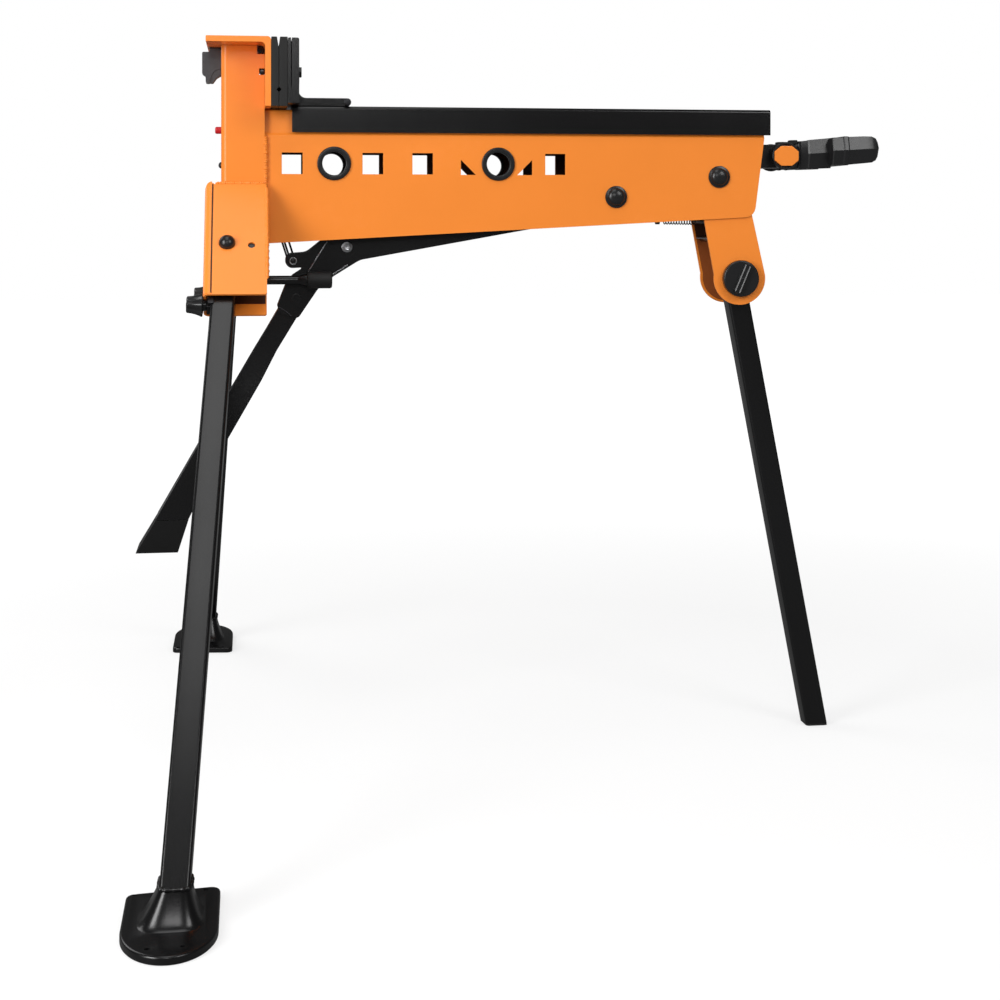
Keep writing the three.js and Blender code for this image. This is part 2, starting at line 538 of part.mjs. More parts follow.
// Front leg: tilted bracket, bolt, square tube, clamping knob and pressed foot
function buildFrontLeg(label, side) {
  const bracketFrame = new THREE.Group();
  bracketFrame.position.set(LEG_BOLT.x, side * LEG_BOLT.y, LEG_BOLT.z);
  bracketFrame.rotation.x = side * SPLAY;
  bench.add(bracketFrame);

  const { left, right, half, sheet, bend, bottom, outerTop, innerTop } = BRACKET;
  const inside = half - sheet;
  const plan = outline([[right, -half], [left, -half, bend], [left, half, bend], [right, half],
    [right, inside],
    [left + sheet, inside, bend - sheet], [left + sheet, -inside, bend - sheet], [right, -inside]]);
  const above = outline([[-side * (half + 5), innerTop], [-side * inside, innerTop],
    [side * inside, outerTop],
    [side * (half + 5), outerTop], [side * (half + 5), outerTop + 50], [-side * (half + 5),
    outerTop + 50]]);
  const toes = outline([[left - 1, bottom], [right, bottom, 3], [right, outerTop, 3],
    [left - 1, outerTop]]);
  const sheetMetal = cut(prismXY(plan, bottom, outerTop, 4), prismYZ(above, left - 5, right + 5));
  const seam = box([left + 10.2, left + 11.4], onSide(side, half - 1, half + 1), [bottom - 1,
    outerTop + 1]);
  const knobNotch = box([left - 1, left + sheet + 5], [-19, 19], [bottom - 1,
    4 - LEG_KNOB.down + LEG_KNOB.base]);
  const shell = cut(common(sheetMetal, prismXZ(toes, -60, 60)), seam, knobNotch,
    rodY(-60, 60, 0, 0, LEG_BOLT.radius + 0.4), rodY(...onSide(side, 0, 60), 32.8, -3.5, 5));
  piece(`leg_bracket_${label}`, shell, orange, bracketFrame);

  const seat = half + 0.4;
  const collar = TUBE / 2 + 0.5;
  const collarEnd = half - sheet - 0.4;
  const { radius, cap } = LEG_BOLT;
  const bolt = turnedY([[0, -seat - 7], [9.5, -seat - 7], [9.5, -seat], [radius, -seat],
    [radius, -collarEnd],
    [10, -collarEnd], [10, -collar], [radius, -collar], [radius, collar], [10, collar], [10, collarEnd],
    [radius, collarEnd], [radius, seat], [cap, seat], [cap - 0.6, seat + 3.8], [cap - 3, seat + 7.4],
    [6, seat + 9.4],
    [0, seat + 10.4]], 0, 0, 16);
  piece(`leg_bolt_${label}`, side < 0 ? bolt.rotateX(Math.PI) : bolt, plastic, bracketFrame);

  const legFrame = new THREE.Group();
  legFrame.rotation.y = LEAN;
  bracketFrame.add(legFrame);
  const ground = inFrameOf(legFrame, belowLevel(DOME_TOP + GAP));
  const front0 = -TUBE / 2;
  const knobZ = -LEG_KNOB.down;
  const boss = box([front0 - LEG_KNOB.boss, front0 + 0.5], [-9, 9], [knobZ - 9, knobZ + 9]);
  const tube = cut(join(legTube(LEG_TOP, 900), boss), ground, rodY(-60, 60, 0, 0, LEG_BOLT.radius + 0.4));
  piece(`front_leg_${label}`, tube, black, legFrame);

  const knobBack = front0 - LEG_KNOB.boss - GAP;
  const gripBack = knobBack - LEG_KNOB.neck;
  const lobed = (x, radius) => Array.from({ length: 30 }, (_, i) => {
    const angle = (2 * Math.PI * i) / 30;
    const reach = radius * (0.87 + 0.13 * Math.cos(LEG_KNOB.lobes * angle));
    return [x, reach * Math.cos(angle), reach * Math.sin(angle) + knobZ];
  });
  const grip = loft([lobed(gripBack - LEG_KNOB.grip, LEG_KNOB.tip), lobed(gripBack - 9,
    LEG_KNOB.base - 3.5),
    lobed(gripBack, LEG_KNOB.base)]);
  const knob = join(grip, rodX(gripBack - 2, knobBack, 0, knobZ, 8));
  piece(`leg_knob_${label}`, knob, plastic, legFrame);

  legFrame.updateWorldMatrix(true, false);
  const down = new THREE.Vector3(0, 0, -1).transformDirection(legFrame.matrixWorld);
  const reach = (DOME_TOP - LEG_BOLT.z) / down.z;
  const ankle = bracketFrame.position.clone().addScaledVector(down, reach);
  piece(`foot_${label}`, inFrameOf(legFrame, footShape(side, ankle)), black, legFrame);
}

// Pressed foot: a D-shaped tray, upside down, with a square bell under the leg
function footShape(side, ankle) {
  const sole = (inset) => {
    const half = FOOT.half - inset;
    const corner = FOOT.corner - inset / 2;
    const shape = new THREE.Shape();
    shape.moveTo(FOOT.x - half, side * FOOT.roundStart);
    shape.lineTo(FOOT.x - half, side * (FOOT.innerLeft + inset + corner));
    shape.lineTo(FOOT.x - half + corner * 0.3, side * (FOOT.innerLeft + inset + corner * 0.3));
    shape.lineTo(FOOT.x - half + corner, side * (FOOT.innerLeft + inset - 1));
    shape.lineTo(FOOT.x + half - corner, side * (FOOT.innerRight + inset + 1));
    shape.lineTo(FOOT.x + half - corner * 0.3, side * (FOOT.innerRight + inset + corner * 0.3));
    shape.lineTo(FOOT.x + half, side * (FOOT.innerRight + inset + corner));
    shape.lineTo(FOOT.x + half, side * FOOT.roundStart);
    shape.absellipse(FOOT.x, side * FOOT.roundStart, half, FOOT.arc - inset, 0, side * Math.PI, side < 0,
    0);
    return shape;
  };
  const bend = 3;
  const pressed = new THREE.ExtrudeGeometry(sole(0), { depth: FOOT_HEIGHT - bend, curveSegments: 8,
    bevelThickness: bend, bevelSize: bend, bevelOffset: -bend, bevelSegments: 2 });
  const tray = cut(pressed, belowLevel(0));
  const pocket = prismXY(sole(5), -1, FOOT_HEIGHT - 3.5, 6);
  const holes = [[-153, 559], [-77, 555], [-132, 707], [-96, 705]].map(([x, y]) =>
    new THREE.CylinderGeometry(3, 3, 30, 8).rotateX(Math.PI / 2).translate(x, side * y, 0));

  // Levels of the bell: height, half length and half width; it drifts towards the fixed jaw as it widens
  const levels = [[2, 37, 41], [8, 36, 40], [12, 31, 35], [20, 26, 30], [31, 22, 26], [41, 19, 23.5],
    [DOME_TOP, 17.2, 22]];
  const squared = (value) => Math.sign(value) * Math.abs(value) ** 0.55;
  const bell = (steps, wall) => loft(steps.map(([z, halfX, halfY]) => Array.from({ length: 16 }, (_, i) => {
    const angle = (2 * Math.PI * i) / 16;
    const drift = (z - DOME_TOP) * 0.12;
    return [ankle.x + drift + (halfX - wall) * squared(Math.cos(angle)),
      ankle.y + (halfY - wall) * squared(Math.sin(angle)), z];
  })));
  const hollow = [[-1, 37, 41], ...levels.slice(1, -2), [40, 19.5, 24]];
  return cut(join(tray, bell(levels, 0)), pocket, bell(hollow, 3.2), ...holes);
}

// Rear end: clevis plates under the beam, their rods, the rear leg and its knob
function buildRear() {
  const shape = new THREE.Shape();
  const lean = THREE.MathUtils.degToRad(8);
  shape.moveTo(626, 832);
  shape.lineTo(668, 832);
  shape.lineTo(694.5, 753.2);
  shape.absarc(REAR_PIVOT.x, REAR_PIVOT.z, CLEVIS.round, lean, Math.PI - lean, true);
  shape.lineTo(622.7, 747);
  const bores = [rodY(-60, 60, REAR_PIN.x, REAR_PIN.z, PIVOT.radius + GAP),
    rodY(-60, 60, REAR_PIVOT.x, REAR_PIVOT.z, REAR_PIVOT.radius + GAP)];
  for (const [label, side] of Object.entries(SIDES)) {
    piece(`rear_clevis_${label}`, cut(prismXZ(shape, ...onSide(side, CLEVIS.inner, CLEVIS.outer), 8),
      ...bores), orange);
  }
  const rodEnd = CLEVIS.inner - GAP;
  piece('spring_hook_rod', rodY(-rodEnd, rodEnd, HOOK_ROD.x, HOOK_ROD.z, HOOK_ROD.radius), zinc);
  piece('clevis_spacer', rodY(-rodEnd, rodEnd, SPACER.x, SPACER.z, SPACER.radius), zinc);
  const sleeve = TUBE / 2 + 0.5;
  const { radius } = REAR_PIVOT;
  piece('rear_leg_pin', turnedY([[0, -41], [radius, -41], [radius, -rodEnd], [10, -rodEnd], [10, -sleeve],
    [radius, -sleeve], [radius, sleeve], [10, sleeve], [10, rodEnd], [radius, rodEnd], [radius, 41.1],
    [10, 41.1],
    [10, 44], [7, 48], [0, 49]], REAR_PIVOT.x, REAR_PIVOT.z), zinc);

  const { back, face, bar } = REAR_KNOB;
  const disc = turnedY([[0, -face], [REAR_KNOB.radius - 2, -face], [REAR_KNOB.radius, -face + 2],
    [REAR_KNOB.radius, -back - 2], [REAR_KNOB.radius - 2, -back], [0, -back]], 0, 0, 24);
  const rib = box([-23, 23], [-bar, -face + 0.5], [-4.5, 4.5]).rotateY(REAR_KNOB.barTurn);
  piece('rear_knob', join(disc, rib), plastic).position.set(REAR_PIVOT.x, 0, REAR_PIVOT.z);

  const legFrame = new THREE.Group();
  legFrame.position.set(REAR_PIVOT.x, 0, REAR_PIVOT.z);
  legFrame.rotation.y = -REAR_LEAN;
  bench.add(legFrame);
  const soleTop = 3;
  const tube = cut(legTube(LEG_TOP, 760), inFrameOf(legFrame, belowLevel(soleTop)), rodY(-60, 60, 0, 0,
    radius + GAP));
  piece('rear_leg', tube, black, legFrame);
  const flange = common(prismXY(tubeOutline(TUBE, TUBE_CORNER), -760, 0, 1),
    inFrameOf(legFrame, box([-2000, 2000], [-100, 100], [0, soleTop - GAP])));
  const stubSize = TUBE - 2 * TUBE_WALL - 2 * GAP;
  const stub = common(prismXY(tubeOutline(stubSize, 1.5), -760, 0, 1),
    inFrameOf(legFrame, box([-2000, 2000], [-100, 100], [1, 24])));
  piece('rear_foot_plug', join(flange, stub), rubber, legFrame);
}

// Handle: a block with trunnions in the end of the beam and a loop grip that folds down on them
function buildHandle() {
  const { x, z, end, tongueHalf, armInner, armOuter, gripHalf } = HANDLE;
  const across = BEAM.half - BEAM.sheet - 0.4;
  const tongue = outline([[700, z - end], [x + end, z - end, end - 0.1], [x + end, z + end, end - 0.1],
    [700, z + end]]);
  const bore = rodY(-60, 60, x, z, 4.3);
  const block = join(box([674, 704], [-across, across], [836, 864]), prismXZ(tongue, -tongueHalf,
    tongueHalf, 3));
  piece('handle_mount', join(block, rodY(-armOuter, armOuter, x, z, 4)), plastic);
  const arm = outline([[729, 824, 8], [729, 859, 8], [757, 862], [815, 868], [822, 868], [822, 826],
    [815, 823.5],
    [760, 821.5]]);
  const gripTop = SLIDE.bottom - 0.5;
  const grip = outline([[812, 827, 3], [812, gripTop - 2, 3], [840, gripTop - 0.8], [873, gripTop, 8],
    [882.6, 860, 6], [882.6, 844, 8], [876, 831.5, 6], [828, 828]]);
  const loop = join(prismXZ(grip, -gripHalf, gripHalf), ...[-1, 1].map((side) =>
    prismXZ(arm, ...onSide(side, armInner, armOuter))));
  piece('handle_grip', cut(loop, bore), plastic);
  const cap = outline([[x - 18, z - 6.5], [x - 18, z + 6.5], [x - 8, z + 14.5], [x + 8, z + 14.5],
    [x + 18, z + 6.5],
    [x + 18, z - 6.5], [x + 8, z - 14.5], [x - 8, z - 14.5]]);
  for (const [label, side] of Object.entries(SIDES)) {
    piece(`handle_cap_${label}`, prismXZ(cap, ...onSide(side, armOuter + GAP, armOuter + 5)), orange);
  }
}

// Post with its rubber bumper, fixed to the column's web beside the pedal
function buildPost() {
  const start = COLUMN.left + COLUMN.sheet + 0.5;
  const flare = new THREE.CylinderGeometry(POST.flare, POST.radius - 0.5, 11, ROUND).rotateZ(-Math.PI / 2)
    .translate(POST.bumperStart - 5.8, POST.y, POST.z);
  piece('pedal_post', join(rodX(start, POST.end, POST.y, POST.z, POST.radius), flare), black);
  const sleeve = rodX(POST.bumperStart, POST.bumperEnd, POST.y, POST.z, POST.bumper, 16);
  const bore = rodX(POST.bumperStart - 1, POST.end + GAP, POST.y, POST.z, POST.radius + 0.4);
  piece('post_bumper', cut(sleeve, bore), rubber);
}

buildColumn();
buildJaws();
buildSlide();
buildBeam();
buildPedal();
buildLock();
for (const [label, side] of Object.entries(SIDES)) buildFrontLeg(label, side);
buildRear();
buildHandle();
buildPost();

const footprint = new THREE.Box3().setFromObject(bench, true);
bench.position.set(-(footprint.min.x + footprint.max.x) / 2, 0, -footprint.min.z);

export default bench;
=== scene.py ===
"""Folding workbench with a foot-operated clamp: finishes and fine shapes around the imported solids."""
import json
import math

import bmesh
import bpy
import numpy as np
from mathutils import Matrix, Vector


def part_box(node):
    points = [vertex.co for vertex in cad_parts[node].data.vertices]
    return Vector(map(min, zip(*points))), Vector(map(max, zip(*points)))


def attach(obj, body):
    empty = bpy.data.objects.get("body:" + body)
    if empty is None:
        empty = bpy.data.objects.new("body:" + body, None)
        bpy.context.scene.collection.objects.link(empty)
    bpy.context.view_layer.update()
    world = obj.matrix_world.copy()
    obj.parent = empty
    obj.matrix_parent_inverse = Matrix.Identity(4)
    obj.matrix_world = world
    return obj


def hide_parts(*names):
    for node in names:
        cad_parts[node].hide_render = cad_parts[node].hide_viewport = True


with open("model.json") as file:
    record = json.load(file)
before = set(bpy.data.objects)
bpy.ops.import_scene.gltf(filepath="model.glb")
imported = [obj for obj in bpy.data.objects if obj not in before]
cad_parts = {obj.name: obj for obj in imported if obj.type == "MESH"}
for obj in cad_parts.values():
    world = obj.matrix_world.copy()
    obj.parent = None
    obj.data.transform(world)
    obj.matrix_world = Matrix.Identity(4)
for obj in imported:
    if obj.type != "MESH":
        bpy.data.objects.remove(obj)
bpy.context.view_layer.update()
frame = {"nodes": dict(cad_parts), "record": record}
NODES = frame["nodes"]
BODY_OF = {node: body for body, members in frame["record"]["behaviour"]["bodies"].items()
           for node in members}
SLOT_OF = {part["node"]: part["material_slot"] for part in frame["record"]["subparts"]}

# The drawing is in mm; its X = 0, the jaw line, is 1 mm in front of the fixed jaw's backing plate
MM = 1000
JAW_LINE = float(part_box("jaw_backing")[1].x) + 1 / MM


def bench(points):
    """Drawing mm, counted from the jaw line, the middle plane and the floor, as metres of the frame."""
    return np.asarray(points) / MM + [JAW_LINE, 0.0, 0.0]


# Camera: its place in drawing mm
CAMERA_PLACE = (-25.217, -2512.235, 748.0)
CAMERA_YAW = math.radians(-7.9963)
CAMERA_LENS = 62.995
CAMERA_SENSOR = 36
CAMERA_SHIFT = (0.001, -0.2804)
CAMERA_REACH = 100

# Lamps: place, aim, width and height in metres, then watts
BENCH_MIDDLE = (0, 0, 0.6)
FRONT_FOOT = (-0.42, -0.66, 0.03)
FRONT_LEG = (-0.45, -0.6, 0.5)
LAMPS = {
    "key_lamp": ((-2.5, -2.1, 1.5), BENCH_MIDDLE, (1.2, 2.0), 64),
    "fill_lamp": ((1.6, -2.5, 2.3), BENCH_MIDDLE, (1.2, 1.2), 24),
    "foot_lamp": ((-0.45, -3.0, 1.7), FRONT_FOOT, (0.6, 0.7), 8),
    "top_lamp": ((-0.45, -0.95, 3.2), FRONT_LEG, (1.2, 2.2), 15),
    "back_lamp": ((-2.4, 1.9, 2.3), BENCH_MIDDLE, (1.8, 2.2), 24),
}


def add_object(name, data):
    made = bpy.data.objects.new(name, data)
    bpy.context.scene.collection.objects.link(made)
    return made


def set_camera():
    data = bpy.data.cameras.new("camera")
    data.lens = CAMERA_LENS
    data.sensor_width = CAMERA_SENSOR
    data.shift_x, data.shift_y = CAMERA_SHIFT
    data.clip_end = CAMERA_REACH
    camera = add_object("camera", data)
    camera.location = bench(CAMERA_PLACE)
    camera.rotation_euler = (math.pi / 2, 0, CAMERA_YAW)
    bpy.context.scene.camera = camera


def add_lamp(name, place, aim, size, watts):
    data = bpy.data.lights.new(name, "AREA")
    data.shape = "RECTANGLE"
    data.size, data.size_y = size
    data.energy = watts
    lamp = add_object(name, data)
    lamp.location = place
    direction = np.subtract(aim, place)
    yaw = math.atan2(direction[1], direction[0])
    pitch = math.atan2(math.hypot(direction[0], direction[1]), -direction[2])
    lamp.rotation_euler = (pitch, 0, yaw - math.pi / 2)


# Finishes
def maths(operation, swapped=False):
    """A method that adds a Math node for a wire and another value."""
    def method(wire, other):
        pair = (other, wire) if swapped else (wire, other)
        return wire.nodes.node("ShaderNodeMath", {"operation": operation}, dict(enumerate(pair)))
    return method


class Wire:
    """A socket among nodes; arithmetic on it adds Math nodes, and under() gives 1 below a limit."""

    __add__ = __radd__ = maths("ADD")
    __sub__, __rsub__ = maths("SUBTRACT"), maths("SUBTRACT", True)
    __mul__ = __rmul__ = maths("MULTIPLY")
    __truediv__ = maths("DIVIDE")
    at_least, at_most, under = maths("MAXIMUM"), maths("MINIMUM"), maths("LESS_THAN")

    def __init__(self, nodes, socket):
        self.nodes = nodes
        self.socket = socket

    def size(self):
        return self.at_least(0.0 - self)

    def clamped(self):
        return self.at_least(0.0).at_most(1.0)


class Nodes:
    """The nodes of a finish or of the surround."""

    def __init__(self, tree):
        self.tree = tree

    def node(self, kind, settings=None, inputs=None, output=0):
        made = self.tree.nodes.new(kind)
        for key, value in (settings or {}).items():
            setattr(made, key, value)
        for key, value in (inputs or {}).items():
            self.feed(made.inputs[key], value)
        return Wire(self, made.outputs[output])

    def feed(self, socket, value):
        if isinstance(value, Wire):
            self.tree.links.new(value.socket, socket)
        else:
            socket.default_value = value

    def ray(self, kind):
        """1 for rays of a kind, such as Camera or Glossy."""
        return self.node("ShaderNodeLightPath", output="Is %s Ray" % kind)


class Finish(Nodes):
    """One surface finish: a material and the nodes of it."""

    EDGE_GAIN = 6.0

    def __init__(self, name):
        self.material = bpy.data.materials.new(name)
        self.material.use_nodes = True
        super().__init__(self.material.node_tree)
        self.shader = self.tree.nodes["Principled BSDF"]

    def surface(self, **sockets):
        for key, value in sockets.items():
            self.feed(self.shader.inputs[key.replace("_", " ")], value)

    def place(self):
        return self.node("ShaderNodeTexCoord", output="Object")

    def axis(self, name):
        return self.node("ShaderNodeSeparateXYZ", None, {0: self.place()}, name)

    def noise(self, scale, detail=2.0, rough=0.5, place=None):
        inputs = {"Vector": place or self.place(), "Scale": scale, "Detail": detail, "Roughness": rough}
        return self.node("ShaderNodeTexNoise", None, inputs, "Fac")

    def blend(self, amount, low, high):
        """A colour between two others; amount 0 gives low."""
        return self.node("ShaderNodeMix", {"data_type": "RGBA"}, {0: amount, 6: low, 7: high}, 2)

    def edge(self, radius):
        """1 near a sharp edge, 0 on flat ground: how far the normal, eased over a radius, leans away."""
        leaning = self.node("ShaderNodeBevel", {"samples": 4}, {"Radius": radius})
        plain = self.node("ShaderNodeNewGeometry", output="Normal")
        facing = self.node("ShaderNodeVectorMath", {"operation": "DOT_PRODUCT"},
                           {0: leaning, 1: plain}, "Value")
        return ((1.0 - facing) * self.EDGE_GAIN).clamped()

    def bump(self, height, strength, distance):
        inputs = {"Height": height, "Strength": strength, "Distance": distance}
        return self.node("ShaderNodeBump", None, inputs)


def rgba(colour, gain=1.0):
    return (colour[0] * gain, colour[1] * gain, colour[2] * gain, 1.0)


ORANGE = (0.93, 0.265, 0.036)
# Edge colours: paler paint along edges, partly worn paint and partly a painted highlight
ORANGE_EDGE = (0.96, 0.36, 0.07)
BLACK = (0.0028, 0.0028, 0.0031)
BLACK_EDGE = (0.03, 0.03, 0.032)
# Painted shade: a dark brown for insides that lie in deep shade, and the orange as it looks in shade
PAINTED_SHADE_BROWN = (0.05, 0.016, 0.007)
SHADED_ORANGE = (0.3, 0.075, 0.016)
# The beam's inside is painted dark brown as shade: faces nearer the middle plane and below a height, in
# metres
BEAM_SHADED_INSIDE = 0.0413, 0.8632
# Noise scales of the paint, the mouldings and the plating
MOTTLE, PEEL, SPECK, EDGE_WEAR_AND_HIGHLIGHT = 9.0, 700.0, 2600.0, 120.0
TINT, CLOUD, SCRATCH = 25.0, 60.0, 1800.0
COARSE_GRAIN, FINE_GRAIN = 900.0, 1500.0
PAINT_RIM, MOULDED_RIM = 0.0011, 0.0009


def powder_coat(name, colour, edge_colour, roughness, gloss, inside=None):
    """Baked powder paint: a fine orange-peel skin, a slow mottle, and paler edges, partly paint drawn
    thin there and partly a painted highlight.

    Where `inside` gives a half width and a height, the faces nearer the middle plane and below that
    height are painted dark brown as shade."""
    finish = Finish(name)
    mottle = finish.noise(MOTTLE, 3.0)
    peel = finish.noise(PEEL, 1.0)
    speck = finish.noise(SPECK, 1.0)
    ground = finish.blend(mottle, rgba(colour, 0.94), rgba(colour, 1.05))
    # Paler edges: partly wear, partly a painted highlight
    rim = finish.edge(PAINT_RIM) * (0.25 + finish.noise(EDGE_WEAR_AND_HIGHLIGHT, 2.0) * 0.5)
    paint = finish.blend(rim, ground, rgba(edge_colour))
    if inside:
        half_width, height = inside
        # Painted shade: inner faces take the dark brown in place of the paint
        painted_shade_mask = finish.axis("Y").size().under(half_width) * finish.axis("Z").under(height)
        paint = finish.blend(painted_shade_mask, paint, rgba(PAINTED_SHADE_BROWN))
    finish.surface(Base_Color=paint,
                   Roughness=roughness - 0.06 + mottle * 0.1 + speck * 0.04,
                   Normal=finish.bump(peel + speck * 0.3, 0.09, 0.0004), Specular_IOR_Level=gloss)
    return finish.material


def moulded(name, colour, roughness, grain, depth, gloss):
    """Moulded plastic or rubber: a spark-eroded grain and paler edges, partly polish and partly a
    painted highlight.
    """
    finish = Finish(name)
    tint = finish.noise(TINT, 3.0)
    skin = finish.noise(grain, 2.0, 0.6)
    # Paler edges: partly polish, partly a painted highlight
    rim = finish.edge(MOULDED_RIM)
    ground = finish.blend(tint, rgba(colour, 0.85), rgba(colour, 1.15))
    finish.surface(Base_Color=finish.blend(rim * 0.45, ground, rgba(colour, 2.2)),
                   Roughness=roughness - rim * 0.08 + tint * 0.08,
                   Normal=finish.bump(skin, 0.3, depth), Specular_IOR_Level=gloss)
    return finish.material


def plated(name, colour, roughness):
    """Zinc plating: soft cloudy tint, fine drawn scratches and a darker bloom."""
    finish = Finish(name)
    cloud = finish.noise(CLOUD, 3.0)
    drawn = finish.node("ShaderNodeMapping", None, {"Vector": finish.place(), "Scale": (1.0, 0.06, 1.0)})
    scratch = finish.noise(SCRATCH, 2.0, 0.6, drawn)
    finish.surface(Base_Color=finish.blend(cloud, rgba(colour, 0.75), rgba(colour, 1.1)), Metallic=1.0,
                   Roughness=roughness + cloud * 0.12 + scratch * 0.08,
                   Normal=finish.bump(scratch, 0.15, 0.0002))
    return finish.material


# Paints: colour, edge colour, roughness, gloss and the part painted dark as shade
PAINTS = {
    "orange_paint": (ORANGE, ORANGE_EDGE, 0.25, 0.3),
    "black_paint": (BLACK, BLACK_EDGE, 0.24, 0.6),
    "beam_paint": (ORANGE, ORANGE_EDGE, 0.25, 0.3, BEAM_SHADED_INSIDE),
    # Painted shade: dark brown, and orange as it looks in shade
    "primer": (PAINTED_SHADE_BROWN, PAINTED_SHADE_BROWN, 0.4, 0.3),
    "thin_paint": (SHADED_ORANGE, PAINTED_SHADE_BROWN, 0.4, 0.3),
}
# Mouldings: colour, roughness, grain and its depth, and gloss
MOULDINGS = {
    "black_plastic": ((0.012, 0.0122, 0.013), 0.24, FINE_GRAIN, 0.0001, 0.5),
    "rubber": ((0.013, 0.0127, 0.0125), 0.5, COARSE_GRAIN, 0.0002, 0.4),
    "tread_rubber": ((0.003, 0.003, 0.003), 0.4, COARSE_GRAIN, 0.0001, 0.3),
    # The release lever's black plastic made paler: painted light where it is lit
    "lever_plastic": ((0.05, 0.052, 0.057), 0.3, FINE_GRAIN, 0.0001, 0.5),
    "red_plastic": ((0.55, 0.012, 0.02), 0.3, FINE_GRAIN, 0.00008, 0.5),
}
# Platings: colour and roughness
PLATINGS = {"zinc_steel": ((0.6, 0.61, 0.63), 0.2), "spring_steel": ((0.06, 0.06, 0.064), 0.3)}
FINISH = {name: make(name, *look)
          for make, looks in ((powder_coat, PAINTS), (moulded, MOULDINGS), (plated, PLATINGS))
          for name, look in looks.items()}

# Strength of the white surround as a light, and as the polished parts mirror it; the camera sees it at 1
SURROUND_LIGHT = 0.5
SURROUND_MIRRORED = 0.07
WHITE = (1, 1, 1, 1)
# Floor: sizes in metres, its grey and how the camera and the polished parts see it
FLOOR_HALF = 14.0
FLOOR_LEVEL = -0.0005
FLOOR_GREY, FLOOR_PALER, FLOOR_DARKER = 0.25, 0.65, 0.2
FLOOR_GLOW = 1.08
FLOOR_MIRRORED = 0.14
FLOOR_WHITENS_FROM, FLOOR_WHITENS_OVER = 0.9, 1.6


def set_surround():
    scene = bpy.context.scene
    scene.view_settings.view_transform = "Standard"
    scene.world = bpy.data.worlds.new("surround")
    scene.world.use_nodes = True
    nodes = Nodes(scene.world.node_tree)
    strength = (SURROUND_LIGHT + nodes.ray("Camera") * (1 - SURROUND_LIGHT)
                + nodes.ray("Glossy") * (SURROUND_MIRRORED - SURROUND_LIGHT))
    background = nodes.tree.nodes["Background"]
    nodes.feed(background.inputs["Strength"], strength)
    nodes.feed(background.inputs["Color"], WHITE)


def set_floor():
    """A pale floor that turns white with distance and is dim where polished parts mirror it."""
    mesh = bpy.data.meshes.new("floor")
    corners = np.array([[-1, -1, 0], [1, -1, 0], [1, 1, 0], [-1, 1, 0]]) * FLOOR_HALF
    mesh.from_pydata(corners.tolist(), [], [(0, 1, 2, 3)])
    floor = add_object("floor", mesh)
    floor.location.z = FLOOR_LEVEL
    finish = Finish("floor_paper")
    distance = finish.node("ShaderNodeVectorMath", {"operation": "LENGTH"}, {0: finish.place()}, "Value")
    far = ((distance - FLOOR_WHITENS_FROM) / FLOOR_WHITENS_OVER).clamped()
    seen, glossy = finish.ray("Camera"), finish.ray("Glossy")
    pale = (seen + glossy * FLOOR_MIRRORED).clamped()
    glow = finish.node("ShaderNodeEmission", None, {"Color": WHITE, "Strength": FLOOR_GLOW})
    finish.surface(Base_Color=FLOOR_GREY + seen * FLOOR_PALER - glossy * FLOOR_DARKER, Roughness=0.8)
    shown = finish.node("ShaderNodeMixShader", None, {0: pale * (0.6 + far * 0.4), 2: glow})
    finish.tree.links.new(finish.shader.outputs[0], shown.socket.node.inputs[1])
    finish.tree.links.new(shown.socket, finish.tree.nodes["Material Output"].inputs["Surface"])
    mesh.materials.append(finish.material)


# Surfaces worked out on grids
def grid_faces(rows, columns, round_rows=False, round_columns=False):
    """Four-sided faces between neighbouring rows and columns of a grid, closed round where asked."""
    row = np.arange(rows if round_rows else rows - 1)
    column = np.arange(columns if round_columns else columns - 1)
    a, b = np.meshgrid(row, column, indexing="ij")
    a2 = (a + 1) % rows
    b2 = (b + 1) % columns
    quads = np.stack([a * columns + b, a2 * columns + b, a2 * columns + b2, a * columns + b2], axis=-1)
    return quads.reshape(-1, 4).tolist()


def grid_points(x, y, z):
    """Points from three arrays of coordinates that share one grid of rows and columns."""
    return np.stack(np.broadcast_arrays(x, y, z), axis=-1).reshape(-1, 3)


def capped_faces(rows, columns):
    """Faces of a grid of closed rings, with the first and the last ring filled in."""
    last = (rows - 1) * columns
    ends = [list(range(columns)), list(range(last, last + columns))]
    return grid_faces(rows, columns, round_columns=True) + ends


def unit(vectors):
    """Vectors brought to length 1; one of almost no length stays short."""
    return vectors / np.maximum(np.linalg.norm(vectors, axis=1, keepdims=True), 1e-9)


def eased(corners, radii, steps=5, closed=True):
    """A polyline whose corners become arcs tangent to both sides.

    The arc's middle lies on the corner's bisector at radius over the sine of half the corner's angle,
    and the arc's points are the great-circle blend between its first and last spokes."""
    corner = np.asarray(corners, float)
    radius = np.broadcast_to(radii, len(corner))[:, None]
    back = unit(np.roll(corner, 1, axis=0) - corner)
    ahead = unit(np.roll(corner, -1, axis=0) - corner)
    half = np.arccos(np.clip((back * ahead).sum(1, keepdims=True), -0.999999, 0.999999)) / 2
    middle = corner + unit(back + ahead) * radius / np.sin(half)
    first = corner + back * radius / np.tan(half) - middle
    last = corner + ahead * radius / np.tan(half) - middle
    sweep = (np.pi - 2 * half)[:, :, None]
    t = np.linspace(0, 1, steps)[None, :, None]
    blend = np.sin((1 - t) * sweep) * first[:, None] + np.sin(t * sweep) * last[:, None]
    points = middle[:, None] + blend / np.sin(sweep)
    if not closed:
        points[0] = corner[0]
        points[-1] = corner[-1]
    points = points.reshape(-1, corner.shape[1])
    apart = np.linalg.norm(points - np.roll(points, 1, axis=0), axis=1) > 1e-6
    apart[0] = True
    return points[apart]


